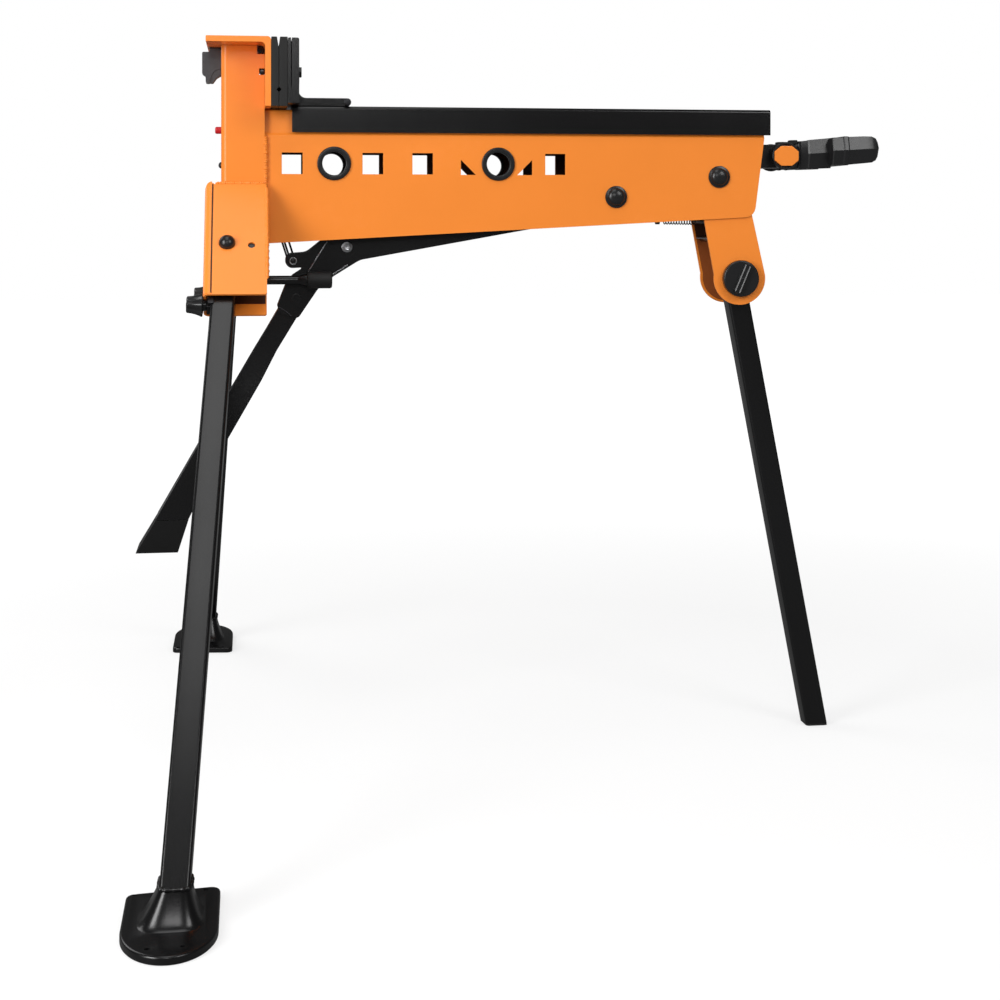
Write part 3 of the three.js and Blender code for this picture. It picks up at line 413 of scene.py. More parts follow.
def prism(outline, axis, low, high):
    """A closed outline carried straight between two levels; the axis names the levels' coordinate."""
    flat = np.asarray(outline, float)
    first, second, level = {"x": (1, 2, 0), "y": (0, 2, 1), "z": (0, 1, 2)}[axis]
    rings = np.empty((2, len(flat), 3))
    rings[:, :, first] = flat[:, 0]
    rings[:, :, second] = flat[:, 1]
    rings[:, :, level] = np.array([[low], [high]])
    return rings.reshape(-1, 3), capped_faces(2, len(flat))


def oblong(left, right, low, high):
    """The four corners of an oblong."""
    return np.array([[left, low], [right, low], [right, high], [left, high]])


def block(x, y, z):
    """A plain box between pairs of levels."""
    return prism(oblong(*x, *y), "z", *z)


def turned(profile, sides=48, ring=False):
    """Pairs of radius and station about the Y axis: radius times the cosine and the sine of the angle."""
    radius, station = np.asarray(profile, float).T[:, :, None]
    angle = np.linspace(0, 2 * np.pi, sides, endpoint=False)
    points = grid_points(radius * np.cos(angle), station, radius * np.sin(angle))
    return points, grid_faces(len(radius), sides, ring, True)


def lathe(profile, radii, steps=4, sides=48, ring=False):
    """A turned shape with the corners of its profile eased; a ring's profile closes on itself."""
    return turned(eased(profile, radii, steps, ring), sides, ring)


def rods(start, end, radius, ease=0.8):
    """A rod along Y with eased ends."""
    return lathe(oblong(0, radius, start, end), [0, ease, ease, 0], sides=32)


def dome(radius, base, rise, steps):
    """A profile from crown to rim: radius times sine, and base plus rise times cosine, of a bend."""
    bend = np.linspace(0, np.pi / 2, steps)
    return np.stack([radius * np.sin(bend), base + rise * np.cos(bend)], axis=1)


def along_x(shape):
    """A shape made about the Y axis, laid along X."""
    points, faces = shape
    return points[:, [1, 0, 2]], faces


def along_z(shape):
    """A shape made about the Y axis, stood along Z."""
    points, faces = shape
    return points[:, [0, 2, 1]], faces


def moved(shape, x=0.0, y=0.0, z=0.0):
    points, faces = shape
    return points + [x, y, z], faces


def mirrored(shape, sign):
    """A shape as it is for sign 1, and on the other side of the middle plane for sign -1."""
    points, faces = shape
    return points * [1, sign, 1], faces


def on_side(sign, near, far):
    """Two distances from the middle plane as rising levels on one side of it."""
    return sorted((sign * near, sign * far))


def joined(*shapes):
    """Several shapes as one list of points and faces."""
    starts = np.cumsum([0] + [len(points) for points, _ in shapes[:-1]])
    faces = [[int(start) + corner for corner in face]
             for start, (_, group) in zip(starts, shapes) for face in group]
    return np.concatenate([points for points, _ in shapes]), faces


def spin_y(degrees):
    c, s = math.cos(math.radians(degrees)), math.sin(math.radians(degrees))
    return np.array([[c, 0, s], [0, 1, 0], [-s, 0, c]])


def spin_x(degrees):
    c, s = math.cos(math.radians(degrees)), math.sin(math.radians(degrees))
    return np.array([[1, 0, 0], [0, c, -s], [0, s, c]])


def set_in(shape, turn, origin):
    """A shape turned by a 3 by 3 matrix and carried to an origin."""
    points, faces = shape
    return points @ turn.T + origin, faces


ACROSS = np.array([0.0, 1.0, 0.0])
UPRIGHT = np.array([0.0, 0.0, 1.0])


def wire(path, radius, lean=ACROSS, sides=10):
    """A round wire: at each station of the path a circle across it, squared up from the given lean."""
    tangent = unit(np.gradient(path, axis=0))
    lean = np.broadcast_to(lean, path.shape)
    spoke = unit(lean - (lean * tangent).sum(1, keepdims=True) * tangent)
    other = np.cross(tangent, spoke)
    angle = np.linspace(0, 2 * np.pi, sides, endpoint=False)[None, :, None]
    thick = np.broadcast_to(radius, len(path))[:, None, None]
    rings = path[:, None] + thick * (np.cos(angle) * spoke[:, None] + np.sin(angle) * other[:, None])
    return rings.reshape(-1, 3), capped_faces(len(path), sides)


def bead(start, end, radius, lean=(1.0, 0.0, 0.0)):
    """A weld bead: a wire whose thickness swells with three waves and thins at both ends."""
    start, end = np.array([start, end], float)
    length = np.linalg.norm(end - start)
    run = np.linspace(0, length, int(length / 0.6))
    wave = (0.15 * np.sin(2 * np.pi * run / 3.1) + 0.14 * np.sin(2 * np.pi * run / 11.3 + 1)
            + 0.08 * np.sin(run / 0.9))
    thick = radius * (1 + wave) * np.clip(np.minimum(run, length - run) / 3, 0.35, 1)
    return wire(start + (run / length)[:, None] * (end - start), thick, lean)


def tension_spring(start, end, curls, pitch, radius, thick, hooks, back):
    """A wound spring between two places in one XZ plane.

    Radius times cosine and sine of the turn, drawn in to the hook's reach over the first and last half
    turn; each hook goes half round its rod, and the first runs back beside itself for a given length."""
    start, end = np.array([start, end], float)
    length = np.linalg.norm(end - start)
    axis = (end - start) / length
    side = np.cross(ACROSS, axis)
    turn = np.linspace(0, 2 * np.pi * curls, curls * 24 + 1)
    reach_in, reach_out = hooks
    rise = np.clip(turn / np.pi, 0, 1)
    fall = np.clip((turn[-1] - turn) / np.pi, 0, 1)
    swing = np.where(turn < turn[-1] / 2, reach_in + (radius - reach_in) * rise,
                     reach_out + (radius - reach_out) * fall)
    station = (length - curls * pitch) / 2 + pitch * turn / (2 * np.pi)
    spoke = -np.cos(turn)[:, None] * side + np.sin(turn)[:, None] * ACROSS
    coil = start + station[:, None] * axis + swing[:, None] * spoke
    bend = np.linspace(0, np.pi, 16)[:, None]
    first = np.cos(bend) * side - np.sin(bend) * axis
    last = (np.cos(bend) * side + np.sin(bend) * axis)[::-1]
    tail = start + reach_in * side + np.linspace(back, 0.3, 6)[:, None] * axis
    hook_in = start + reach_in * first
    hook_out = end + reach_out * last
    inset = np.linspace(0.15, 0.85, 4)[:, None]
    run_in = hook_in[-1] + inset * (coil[0] - hook_in[-1])
    run_out = coil[-1] + inset * (hook_out[0] - coil[-1])
    flat = np.broadcast_to(-side, run_in.shape)
    lean = np.concatenate([np.broadcast_to(side, tail.shape), first, flat, spoke, flat, last])
    return wire(np.concatenate([tail, hook_in, run_in, coil, run_out, hook_out]), thick / 2, lean)


# Meshes: edges keener than KEEN degrees are eased, and edges duller than SHARP degrees shade smooth
KEEN, SOLID_KEEN = 50, 32
SHARP, WIRE_SHARP, WELD_SHARP, FOOT_SHARP = 34, 60, 80, 40
# Points closer than these, in metres, are one; facets within FLAT are one face
SAME, SOLID_SAME, SLIVER = 2e-6, 1e-5, 1e-7
FLAT = math.radians(0.4)


def ease_edges(work, width, keen):
    """Rounds the edges keener than an angle by a width in mm."""
    limit = math.radians(keen)
    edges = [edge for edge in work.edges if len(edge.link_faces) == 2 and edge.calc_face_angle(0) > limit]
    bmesh.ops.bevel(work, geom=edges, offset=width / MM, offset_type="OFFSET", segments=2, profile=0.5,
                    affect="EDGES", clamp_overlap=True)


def shade(work, sharp):
    limit = math.radians(sharp)
    for face in work.faces:
        face.smooth = True
    for edge in work.edges:
        edge.smooth = len(edge.link_faces) == 2 and edge.calc_face_angle(0) < limit


def finish_mesh(work, width, sharp, keen):
    """Turns faces out, eases the keen edges by a width in mm and shades the rest."""
    bmesh.ops.recalc_face_normals(work, faces=work.faces)
    if width:
        ease_edges(work, width, keen)
    shade(work, sharp)


def merged(shape):
    """A shape as a work mesh with its doubles merged."""
    points, faces = shape
    mesh = bpy.data.meshes.new("shape")
    mesh.from_pydata(bench(points).tolist(), [], faces)
    work = bmesh.new()
    work.from_mesh(mesh)
    bpy.data.meshes.remove(mesh)
    bmesh.ops.remove_doubles(work, verts=work.verts, dist=SAME)
    return work


def as_mesh(name, work):
    mesh = bpy.data.meshes.new(name)
    work.to_mesh(mesh)
    work.free()
    return mesh


def closed_mesh(name, shape):
    """A shape's mesh with its doubles merged and its faces turned out."""
    work = merged(shape)
    bmesh.ops.recalc_face_normals(work, faces=work.faces)
    return as_mesh(name, work)


def join_flats(work):
    bmesh.ops.dissolve_limit(work, angle_limit=FLAT, verts=work.verts, edges=work.edges)


def carved(name, mesh, cutters):
    """A mesh with shapes cut out of it, merged and with its flat facets joined."""
    stock = add_object(name, mesh)
    tools = []
    for number, cutter in enumerate(cutters):
        tool = add_object("cutter", closed_mesh("cutter", cutter))
        tools.append(tool)
        change = stock.modifiers.new("cut%d" % number, "BOOLEAN")
        change.operation = "DIFFERENCE"
        change.solver = "EXACT"
        change.object = tool
    seen = stock.evaluated_get(bpy.context.evaluated_depsgraph_get())
    work = bmesh.new()
    work.from_mesh(seen.to_mesh())
    for done in tools + [stock]:
        bpy.data.objects.remove(done)
    bmesh.ops.remove_doubles(work, verts=work.verts, dist=SOLID_SAME)
    join_flats(work)
    return work


SIDES = {"right": -1, "left": 1}
DRESSED = set()
# Pieces whose finish differs from their slot's: painted shade on dark insides and in the bracket's seam,
# the release lever in black plastic made paler as painted light, and the pedal's tread
LOOK = {"beam_finished": "beam_paint", "release_lever_finished": "lever_plastic",
        "lever_lip": "lever_plastic", "pedal_tread_finished": "tread_rubber"}
for side in SIDES:
    LOOK.update({"clevis_dark_shade_" + side: "primer", "clevis_shade_" + side: "thin_paint",
                 "bracket_shade_sheet_" + side: "primer", "bracket_gap_" + side: "primer"})


def add_piece(name, work, slot, body, replaced=(), flat=False):
    """Puts a finished mesh in the scene; with flat faces and eased edges the faces set the shading."""
    piece = add_object(name, as_mesh(name, work))
    piece.data.materials.append(FINISH[LOOK.get(name, slot)])
    if flat:
        even = piece.modifiers.new("even", "WEIGHTED_NORMAL")
        even.keep_sharp = True
    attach(piece, body)
    if replaced:
        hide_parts(*replaced)
        DRESSED.update(replaced)


def detail(name, shape, slot, body="frame", width=0.0, sharp=SHARP, keen=KEEN, replaced=()):
    """A piece of its own, on the frame or another body, its edges eased by a width in mm."""
    work = merged(shape)
    bmesh.ops.dissolve_degenerate(work, edges=work.edges, dist=SLIVER)
    finish_mesh(work, width, sharp, keen)
    add_piece(name, work, slot, body, replaced, width > 0)


def stand_in(node, shape, width=0.0, sharp=SHARP, keen=KEEN, cutters=(), slot=None):
    """The finished form of a node, in the node's finish and on its body."""
    name, slot, body = node + "_finished", slot or SLOT_OF[node], BODY_OF[node]
    if cutters:
        work = carved(node, closed_mesh(node, shape), cutters)
        finish_mesh(work, width, sharp, keen)
        add_piece(name, work, slot, body, (node,), width > 0)
    else:
        detail(name, shape, slot, body, width, sharp, keen, (node,))


def broken_edges(node, width, cutters=(), slot=None):
    """A copy of a solid, merged and with flat facets joined, every sharp edge eased by a width in mm."""
    work = bmesh.new()
    work.from_mesh(NODES[node].data)
    bmesh.ops.remove_doubles(work, verts=work.verts, dist=SOLID_SAME)
    if cutters:
        work = carved(node, as_mesh(node, work), cutters)
    join_flats(work)
    ease_edges(work, width, SOLID_KEEN)
    shade(work, SHARP)
    add_piece(node + "_finished", work, slot or SLOT_OF[node], BODY_OF[node], (node,), True)


def cross_rod(node, half, radius, place, slot=None):
    """A node that is a plain rod across the bench."""
    stand_in(node, moved(rods(-half, half, radius), *place), slot=slot)


# Places of pins, springs and pivots, in drawing mm
BUTTON_HEIGHT = 874.5
WINDOW_HEIGHT = 827
LEVER_PIVOT = 491.7, 0, 780.5
REAR_CROSS = 644, 0, 809.8
CRANK = 491.7, 0, 856
SPRING_LUG = 30.6, 0, 689.4
SPRING_ANCHOR = -3, 0, 795
LOCK_PIN = 562.5, 0, 838
LOCK_HOLE = 562.5, 0, 747
LOCK_HOOK = 628, 0, 746
POST = 0, -34, 663
LEG_BOLT = np.array([-60.2, 99.1, 700.6])
REAR_PIVOT = np.array([675.5, 0.0, 662.5])
# Lean of the legs in degrees
SPLAY, LEAN, REAR_LEAN = 39.0, 3.15, -10.68


# Fixed frame
COLUMN_WEB = -72, -64
THROUGH = -60, 60
# Bolts in the column's sides: X, Z and radius
COLUMN_BOLTS = (-14.5, 984.9, 5.7), (-12.6, 954.5, 4.3)
GROMMETS = {"front": 87.5, "rear": 320.5}
BEAM_SKIN = 43.8


def make_column():
    plan = eased([[-9.3, -48], [-69.5, -48], [-69.5, 48], [-9.3, 48],
                  [-9.3, 45], [-66.5, 45], [-66.5, -45], [-9.3, -45]], [0, 9, 9, 0, 0, 6, 6, 0], 9)
    lever_slot = block(COLUMN_WEB, (-6.5, 6.5), (943, 985.5))
    button_hole = moved(along_x(rods(*COLUMN_WEB, 5.5, 0.1)), z=BUTTON_HEIGHT)
    notches = [block((-20, -8), THROUGH, (979, 992)), block((-17, -8), THROUGH, (950, 959))]
    stand_in("column", prism(plan, "z", 640, 990.7), 0.5, cutters=[lever_slot, button_hole, *notches])
    button = lathe([[0, -78.7], [5, -78.7], [5, -66.2], [8, -66.2], [8, -62.5], [0, -62.5]],
                   [0, 2.2, 0.4, 0.6, 0.6, 0], 6)
    stand_in("red_button", moved(along_x(button), z=BUTTON_HEIGHT))
    detail("lever_stop", block((-86, -70.6), (-13, 13), (989.3, 991.2)), "rubber", width=0.3)
    # The release lever's lip, in black plastic made paler as painted light
    lip = eased([[-70.3, 961], [-80.2, 960.4], [-86.9, 951], [-88, 941.4], [-81.6, 940.8],
                 [-76.2, 948], [-70.3, 951.7]], [0.3, 1, 1, 1, 1.2, 1, 0.3], 4)
    detail("lever_lip", prism(lip, "y", -11.6, 11.6), "black_plastic", BODY_OF["release_lever"], 0.8)
    stem = [[4.6, -69.4], [3.0, -69.4], [3.0, -65], [0, -65]]
    plug = turned(np.concatenate([dome(4.6, -70.4, -3.6, 9), stem]))
    detail("column_plug", moved(along_x(plug), z=825), "black_plastic")
    for side, sign in SIDES.items():
        weld = bead([-8.4, sign * 45.0, 716], [-8.4, sign * 45.0, 866], 3.4)
        detail("column_weld_" + side, weld, "orange_paint", sharp=WELD_SHARP)
        for number, (x, z, radius) in enumerate(COLUMN_BOLTS):
            head = lathe(oblong(0, radius, 38, 46.6), [0, 0.3, 1, 0], sides=6)
            bolt = mirrored(moved(head, x, 0, z), sign)
            detail("column_bolt_%d_%s" % (number, side), bolt, "black_paint")


def make_jaw_plate():
    angle = eased([[-89.4, 991], [-89.4, 999], [-1, 999], [-1, 903.5], [-9, 903.5], [-9, 991]],
                  [0.8, 1.5, 5, 0.5, 0.5, 6], 7)
    stand_in("jaw_backing", prism(angle, "y", -100, 100), 0.7)


def domed_pin(reach):
    """Shaft with a brimmed dome at each end: the dome's radius and height follow a quarter ellipse."""
    brim = np.array([[13.0, 2.0], [15.0, 2.0], [15.7, 1.7], [16, 1.1], [16, 0.2], [15.8, 0], [6, 0]])
    half = np.concatenate([dome(12.5, reach + 2.3, 6.2, 14), brim + [0, reach]])
    return turned(np.concatenate([half, (half * [1, -1])[::-1]]))


def make_beam_fittings():
    ring = lathe([[16.5, 39], [19.6, 39], [19.6, BEAM_SKIN], [24, BEAM_SKIN], [23.4, 46.3], [16.5, 46.3]],
                 [0.4, 0.4, 0.2, 0.6, 1.4, 1.4], 5, 72, True)
    for end, x in GROMMETS.items():
        for side, sign in SIDES.items():
            stand_in("grommet_%s_%s" % (end, side), moved(mirrored(ring, sign), x, 0, WINDOW_HEIGHT))
    stand_in("lever_pivot_pin", moved(domed_pin(BEAM_SKIN), *LEVER_PIVOT))
    stand_in("rear_cross_pin", moved(domed_pin(BEAM_SKIN), *REAR_CROSS))


def make_slide():
    section = eased([[-47.4, 870.5], [-47.4, 907.3], [47.4, 907.3], [47.4, 870.5],
                     [44.4, 870.5], [44.4, 904.3], [-44.4, 904.3], [-44.4, 870.5]],
                    [0.6, 4.5, 4.5, 0.6, 0.6, 1.5, 1.5, 0.6], 7)
    end = eased(oblong(-44.2, 44.2, 873, 904.2), 0.8)
    channel = joined(prism(section, "x", 28.6, 719.9), prism(end, "x", 714.5, 717.5))
    stand_in("slide_channel", channel, 0.4)
    pin = lathe([[0, -52], [5, -52], [5, -46.4], [3.5, -46.4], [3.5, 46.4], [5, 46.4], [5, 52], [0, 52]],
                [0, 1.2, 0.3, 0, 0, 0.3, 1.2, 0], 5)
    stand_in("jaw_pin", moved(pin, 106, 0, 913.15), slot="spring_steel")
    head = lathe(oblong(0, 8, 37.7, 41.5), [0, 0.3, 0.8, 0], sides=6)
    washer = lathe(oblong(0, 9.2, 37.3, 38.2), [0, 0.2, 0.3, 0], sides=40)
    bolt = along_x(joined(head, washer, rods(16, 37.5, 4)))
    for side, sign in SIDES.items():
        stand_in("jaw_bolt_" + side, moved(bolt, 0, sign * 60, 953))


# Pedal and slide lock
LEVER_SKIN = 21.1
# Corners of the lever plates: X, Z and radius, from the crank down to the pedal's socket and back
LEVER_PLATE = np.array([
    [478.7, 869, 12], [504.7, 869, 12], [506, 800, 6], [516, 778, 16], [506, 757, 16], [462, 750, 10],
    [355, 731.5, 40], [125, 690.5, 30], [88.4, 668, 20], [66, 650, 20], [38, 608.5, 5], [11, 616, 4],
    [8.5, 626, 4], [19.4, 654, 10], [30, 669, 5], [47, 680.2, 1.6], [20.2, 679, 9.5],
    [20.2, 699.8, 9.5], [50, 702, 20], [68.6, 717, 6], [100, 738, 20], [462, 806, 12], [478.7, 826, 4]])


def flange_bolt(reach, flange, hexagon, height, dish):
    """A round flange with a six-sided head on it, its top dished, at each end of a shaft."""
    seat, crown = reach + height * 0.4, reach + height
    brim = lathe([[0, reach], [flange, reach], [flange - 0.6, seat], [0, seat]],
                 [0, 0.4, 0.8, 0], sides=40)
    head = [[0, reach + 0.2], [hexagon, reach + 0.2], [hexagon, crown - dish], [hexagon * 0.7, crown],
            [hexagon * 0.58, crown], [hexagon * 0.25, crown - dish], [0, crown - dish]]
    near = joined(brim, turned(head, 6))
    return joined(near, mirrored(near, -1), rods(-reach - 0.5, reach + 0.5, 5))


def dress_lever(side, sign):
    """Metal wires along a lever plate's fold, rim and end, as painted highlight lines, and the ring round
    the spring's lug.
    """
    skin = sign * LEVER_SKIN
    fold = np.linspace((78.5, skin, 716.8), (52, skin, 674.4), 24)
    rim = np.linspace((86.5, skin, 670.6), (107.6, skin, 683.6), 16)
    end = np.insert(eased([[10.2, 624.5], [21.5, 617.5], [28.5, 611.2]], [0, 2, 0], 6, False), 1, skin, 1)
    # The wires' metal stands in for bright highlight lines on the plate: painted highlights
    for name, path, radius, slot in (("fold", fold, 0.9, "zinc_steel"), ("rim", rim, 0.9, "zinc_steel"),
                                     ("end", end, 0.8, "spring_steel")):
        detail("lever_%s_%s" % (name, side), wire(path, radius), slot, "pedal", sharp=WIRE_SHARP)
    ring = lathe([[3.7, LEVER_SKIN], [5.6, LEVER_SKIN], [5.4, 22.6], [4.2, 22.6]],
                 [0.1, 0.2, 0.5, 0.4], 5, 40, True)
    detail("lug_ring_" + side, moved(mirrored(ring, sign), *SPRING_LUG), "zinc_steel", "pedal")


def make_pedal():
    outline = eased(LEVER_PLATE[:, :2], LEVER_PLATE[:, 2], 9)
    for side, sign in SIDES.items():
        stand_in("lever_plate_" + side, prism(outline, "y", *on_side(sign, 17, 21)), 0.5)
    stand_in("lever_bolt", moved(flange_bolt(21.4, 8, 6.4, 5.5, 1.2), 106.6, 0, 709))
    stand_in("socket_bolt", moved(flange_bolt(21.4, 8, 6.4, 1.6, 0.05), 35, 0, 636))
    half_lug = np.array([[0, 21.5], [3.9, 21.5], [3.9, 6], [1.4, 6]])
    lug = lathe(np.concatenate([half_lug * [1, -1], half_lug[::-1]]), [0, 0.4, 0.3, 0, 0, 0.3, 0.4, 0],
                sides=32)
    stand_in("spring_lug_pin", moved(lug, *SPRING_LUG), slot="black_paint")
    for side, sign in SIDES.items():
        dress_lever(side, sign)
    cross_rod("crank_pin", 22.5, 5, CRANK)
    cross_rod("spring_anchor_rod", 40.6, 4, SPRING_ANCHOR)
    stand_in("return_spring", tension_spring(SPRING_LUG, SPRING_ANCHOR, 13, 3.2, 8, 2.9, (3, 5.6), 28))
    loop = np.linspace((24.6, 0.0, 687.6), (-3.5, 0.0, 775.8), 30)
    detail("return_loop", wire(loop, 1.45), "spring_steel", sharp=WIRE_SHARP)
    stand_in("lock_spring", tension_spring(LOCK_HOLE, LOCK_HOOK, 12, 4.0, 5.4, 1.6, (2.2, 4.8), 1.5))
    cross_rod("lock_pin", 40.6, 4, LOCK_PIN)
    stand_in("release_rod", moved(along_x(rods(-38.4, 559.4, 2.5)), 0, 30, 862))
    cross_rod("release_pin", 44.7, 4, (-46, 0, 878))


# Rear end
CLEVIS_INSIDE = 36.4
CLEVIS_ROUND = 38.5


def make_rear():
    bend = np.linspace(math.radians(8), math.radians(-188), 48)
    pivot = REAR_PIVOT[[0, 2]]
    arc = pivot + CLEVIS_ROUND * np.stack([np.cos(bend), np.sin(bend)], axis=1)
    outline = np.concatenate([[[622.7, 747], [626, 832], [668, 832], [694.5, 753.2]], arc])
    # Inside each clevis plate, sheets of painted shade: dark brown above, orange as in shade below
    upper = [[630.6, 720], [626.2, 747], [629.4, 829], [666, 829], [691, 753], [703, 720]]
    lower = np.concatenate([[[630.8, 719], [702, 719]], pivot + (arc - pivot) * 0.91])
    for side, sign in SIDES.items():
        stand_in("rear_clevis_" + side, prism(outline, "y", *on_side(sign, 36.7, 40.7)), 0.6)
        skin = on_side(sign, 36.5, 36.75)
        detail("clevis_dark_shade_" + side, prism(upper, "y", *skin), "orange_paint")
        detail("clevis_shade_" + side, prism(lower, "y", *skin), "orange_paint")
    web = block((629.6, 641), (-CLEVIS_INSIDE, CLEVIS_INSIDE), (719.6, 721.4))
    detail("clevis_web", web, "zinc_steel", width=0.3)
    cross_rod("spring_hook_rod", CLEVIS_INSIDE, 4, LOCK_HOOK)
    cross_rod("clevis_spacer", CLEVIS_INSIDE, 5, (640, 0, 720), "black_paint")
    pin = lathe([[0, -41], [5, -41], [5, -36.4], [10, -36.4], [10, -16.5], [5, -16.5], [5, 16.5],
                 [10, 16.5], [10, 36.4], [5, 36.4], [5, 41.1], [10, 41.1], [10, 44], [7, 48], [0, 49]],
                [0, 0.3, 0.3, 0.6, 0.6, 0.3, 0.3, 0.6, 0.6, 0.3, 0.3, 0.6, 2, 2, 0])
    stand_in("rear_leg_pin", moved(pin, *REAR_PIVOT))
    disc = lathe(oblong(0, 26.5, -52, -41.4), [0, 2.6, 1.6, 0], 7, 72)
    grip = eased(oblong(-23, 23, -4.5, 4.5), 4.2, 7)
    lip = np.array([[-57, 0.85], [-57.8, 0.85], [-59, -0.85], [-57, -0.85]])
    lips = [prism(lip + [0, edge], "x", -21, 21) for edge in (-3.4, 3.4)]
    stud = turned([[0, -58.9], [0.9, -58.7], [1.6, -58.2], [1.9, -57.4], [0, -57.4]], 24)
    bar = set_in(joined(prism(grip, "y", -57.8, -50), stud, *lips), spin_y(-67), (0, 0, 0))
    stand_in("rear_knob", moved(joined(disc, bar), *REAR_PIVOT), 0.4, keen=80)


# Legs: half width of the square tube, its wall, its rise above the pivot, and the heights it ends at
TUBE_HALF, TUBE_WALL, TUBE_RISE = 16, 2, 18
FRONT_END, REAR_END = 46.0, 3.0


def square_tube(turn, origin, end):
    """A tube of rounded square section, run down until each of its lines meets the end height."""
    square = oblong(-1, 1, -1, 1)
    outside = eased(square * TUBE_HALF, 4, 8)
    inside = eased(square * (TUBE_HALF - TUBE_WALL), 2, 8)
    both = np.stack([outside, outside, inside, inside])
    low = (end - origin[2] - both @ turn[2, :2]) / turn[2, 2]
    height = np.where(np.array([True, False, False, True])[:, None], low, TUBE_RISE)
    local = np.concatenate([both, height[:, :, None]], axis=2)
    points = local.reshape(-1, 3) @ turn.T + origin
    return points, grid_faces(4, len(outside), True, True)


# Front feet: middle and half width of the sole, its round outer end and slanting inner end, and its holes
SOLE_X, SOLE_HALF = -112, 51
SOLE_ROUND_Y, SOLE_ROUND = 654, 75
SOLE_INNER = 557, 545
SOLE_HOLES = (-153, 560), (-77, 556), (-132, 707), (-96, 705)
# The bell on the sole: heights with half widths, sheet, slant, and the power of its rounded square
BELL_Y, BELL_LOW, BELL_TOP = 629.0, 8, 45.7
BELL_HEIGHTS = np.array([BELL_LOW, 12, 20, 31, 41, BELL_TOP])
BELL_HALVES = np.array([38.5, 32.4, 27.6, 22.6, 18.8, 17.2])
BELL_SHEET, BELL_LONGER, BELL_SLANT, BELL_POWER = 3.2, 4.4, 0.12, 3.5
HOLLOW_TOP, HOLLOW_LOW = 40, 5.5
SPOKES = 168


def sole_reach(angle, middle_x, inset):
    """Distance from the bell's middle to the sole's edge along each angle.

    The sole is convex, so the reach is the least distance over its edges: the edge's offset less the
    inset, over the cosine between the angle and the edge's outward normal."""
    arc = np.linspace(0, np.pi, 60)
    rounded = np.stack([SOLE_HALF * np.cos(arc), SOLE_ROUND_Y + SOLE_ROUND * np.sin(arc)], axis=1)
    inner = eased([[-SOLE_HALF, SOLE_ROUND_Y], [-SOLE_HALF, SOLE_INNER[0]],
                   [SOLE_HALF, SOLE_INNER[1]], [SOLE_HALF, SOLE_ROUND_Y]], [0, 10, 10, 0], 8, False)
    edge = np.concatenate([rounded[:-1], inner[:-1]]) - np.array([middle_x - SOLE_X, BELL_Y])
    run = np.roll(edge, -1, axis=0) - edge
    long = np.linalg.norm(run, axis=1) > 1e-6
    edge, run = edge[long], run[long]
    normal = unit(np.stack([run[:, 1], -run[:, 0]], axis=1))
    offset = (normal * edge).sum(1)
    facing = np.stack([np.cos(angle), np.sin(angle)], axis=1) @ normal.T
    reach = np.where(facing > 1e-4, (offset - inset) / np.maximum(facing, 1e-4), 1e9)
    return reach.min(axis=1)


def pressed_foot(middle_x, sign):
    """A pressed foot: rings from the hollow's top, over the rim, along the sole and up the square bell.

    Round the rim each ring is the sole's edge drawn in. On the bell it is a rounded square: cosine and
    sine over its half sizes, each raised to a power and added, give one over the reach to that power.
    The half sizes shrink with height along a smooth flare."""
    angle = np.linspace(0, 2 * np.pi, SPOKES, endpoint=False)
    c, s = np.abs(np.cos(angle)), np.abs(np.sin(angle))

    def rise(height):
        return np.sqrt(np.clip((height - BELL_LOW) / (BELL_TOP - BELL_LOW), 0, 1))

    flare = np.polyfit(rise(BELL_HEIGHTS), BELL_HALVES, 4)

    def ring(reach, height, drift=0.0):
        return np.broadcast_arrays(reach, np.reshape(height, (-1, 1)), np.reshape(drift, (-1, 1)))

    def bell(height, wall):
        half = np.polyval(flare, rise(height))[:, None] - wall
        power = (c / half) ** BELL_POWER + (s / (half + BELL_LONGER)) ** BELL_POWER
        return ring(1 / power ** (1 / BELL_POWER), height, (height - BELL_TOP) * BELL_SLANT)

    def rim(inset, height):
        return ring(np.stack([sole_reach(angle, middle_x, value) for value in inset]), height)

    bend = np.linspace(0, np.pi / 2, 6)
    pole = np.zeros((1, SPOKES))
    hollow = bell(np.linspace(HOLLOW_TOP, BELL_LOW, 16), BELL_SHEET)
    rows = [ring(pole, HOLLOW_TOP, hollow[2][0, 0]),
            hollow,
            ring(hollow[0][-1:], HOLLOW_LOW, hollow[2][-1, 0]),
            rim([5, 5], [HOLLOW_LOW, 0]),
            rim([0.5, 0, 0], [0, 0.5, 4]),
            rim(3 - 3 * np.cos(bend), 6 + 3 * np.sin(bend)),
            bell(8.9 + 36.8 * np.linspace(0, 1, 30) ** 1.7, 0),
            ring(pole, BELL_TOP)]
    reach, height, drift = (np.concatenate(part) for part in zip(*rows))
    points = grid_points(middle_x + drift + reach * np.cos(angle),
                         sign * (BELL_Y + reach * np.sin(angle)), height)
    return points, grid_faces(len(reach), SPOKES, round_columns=True)


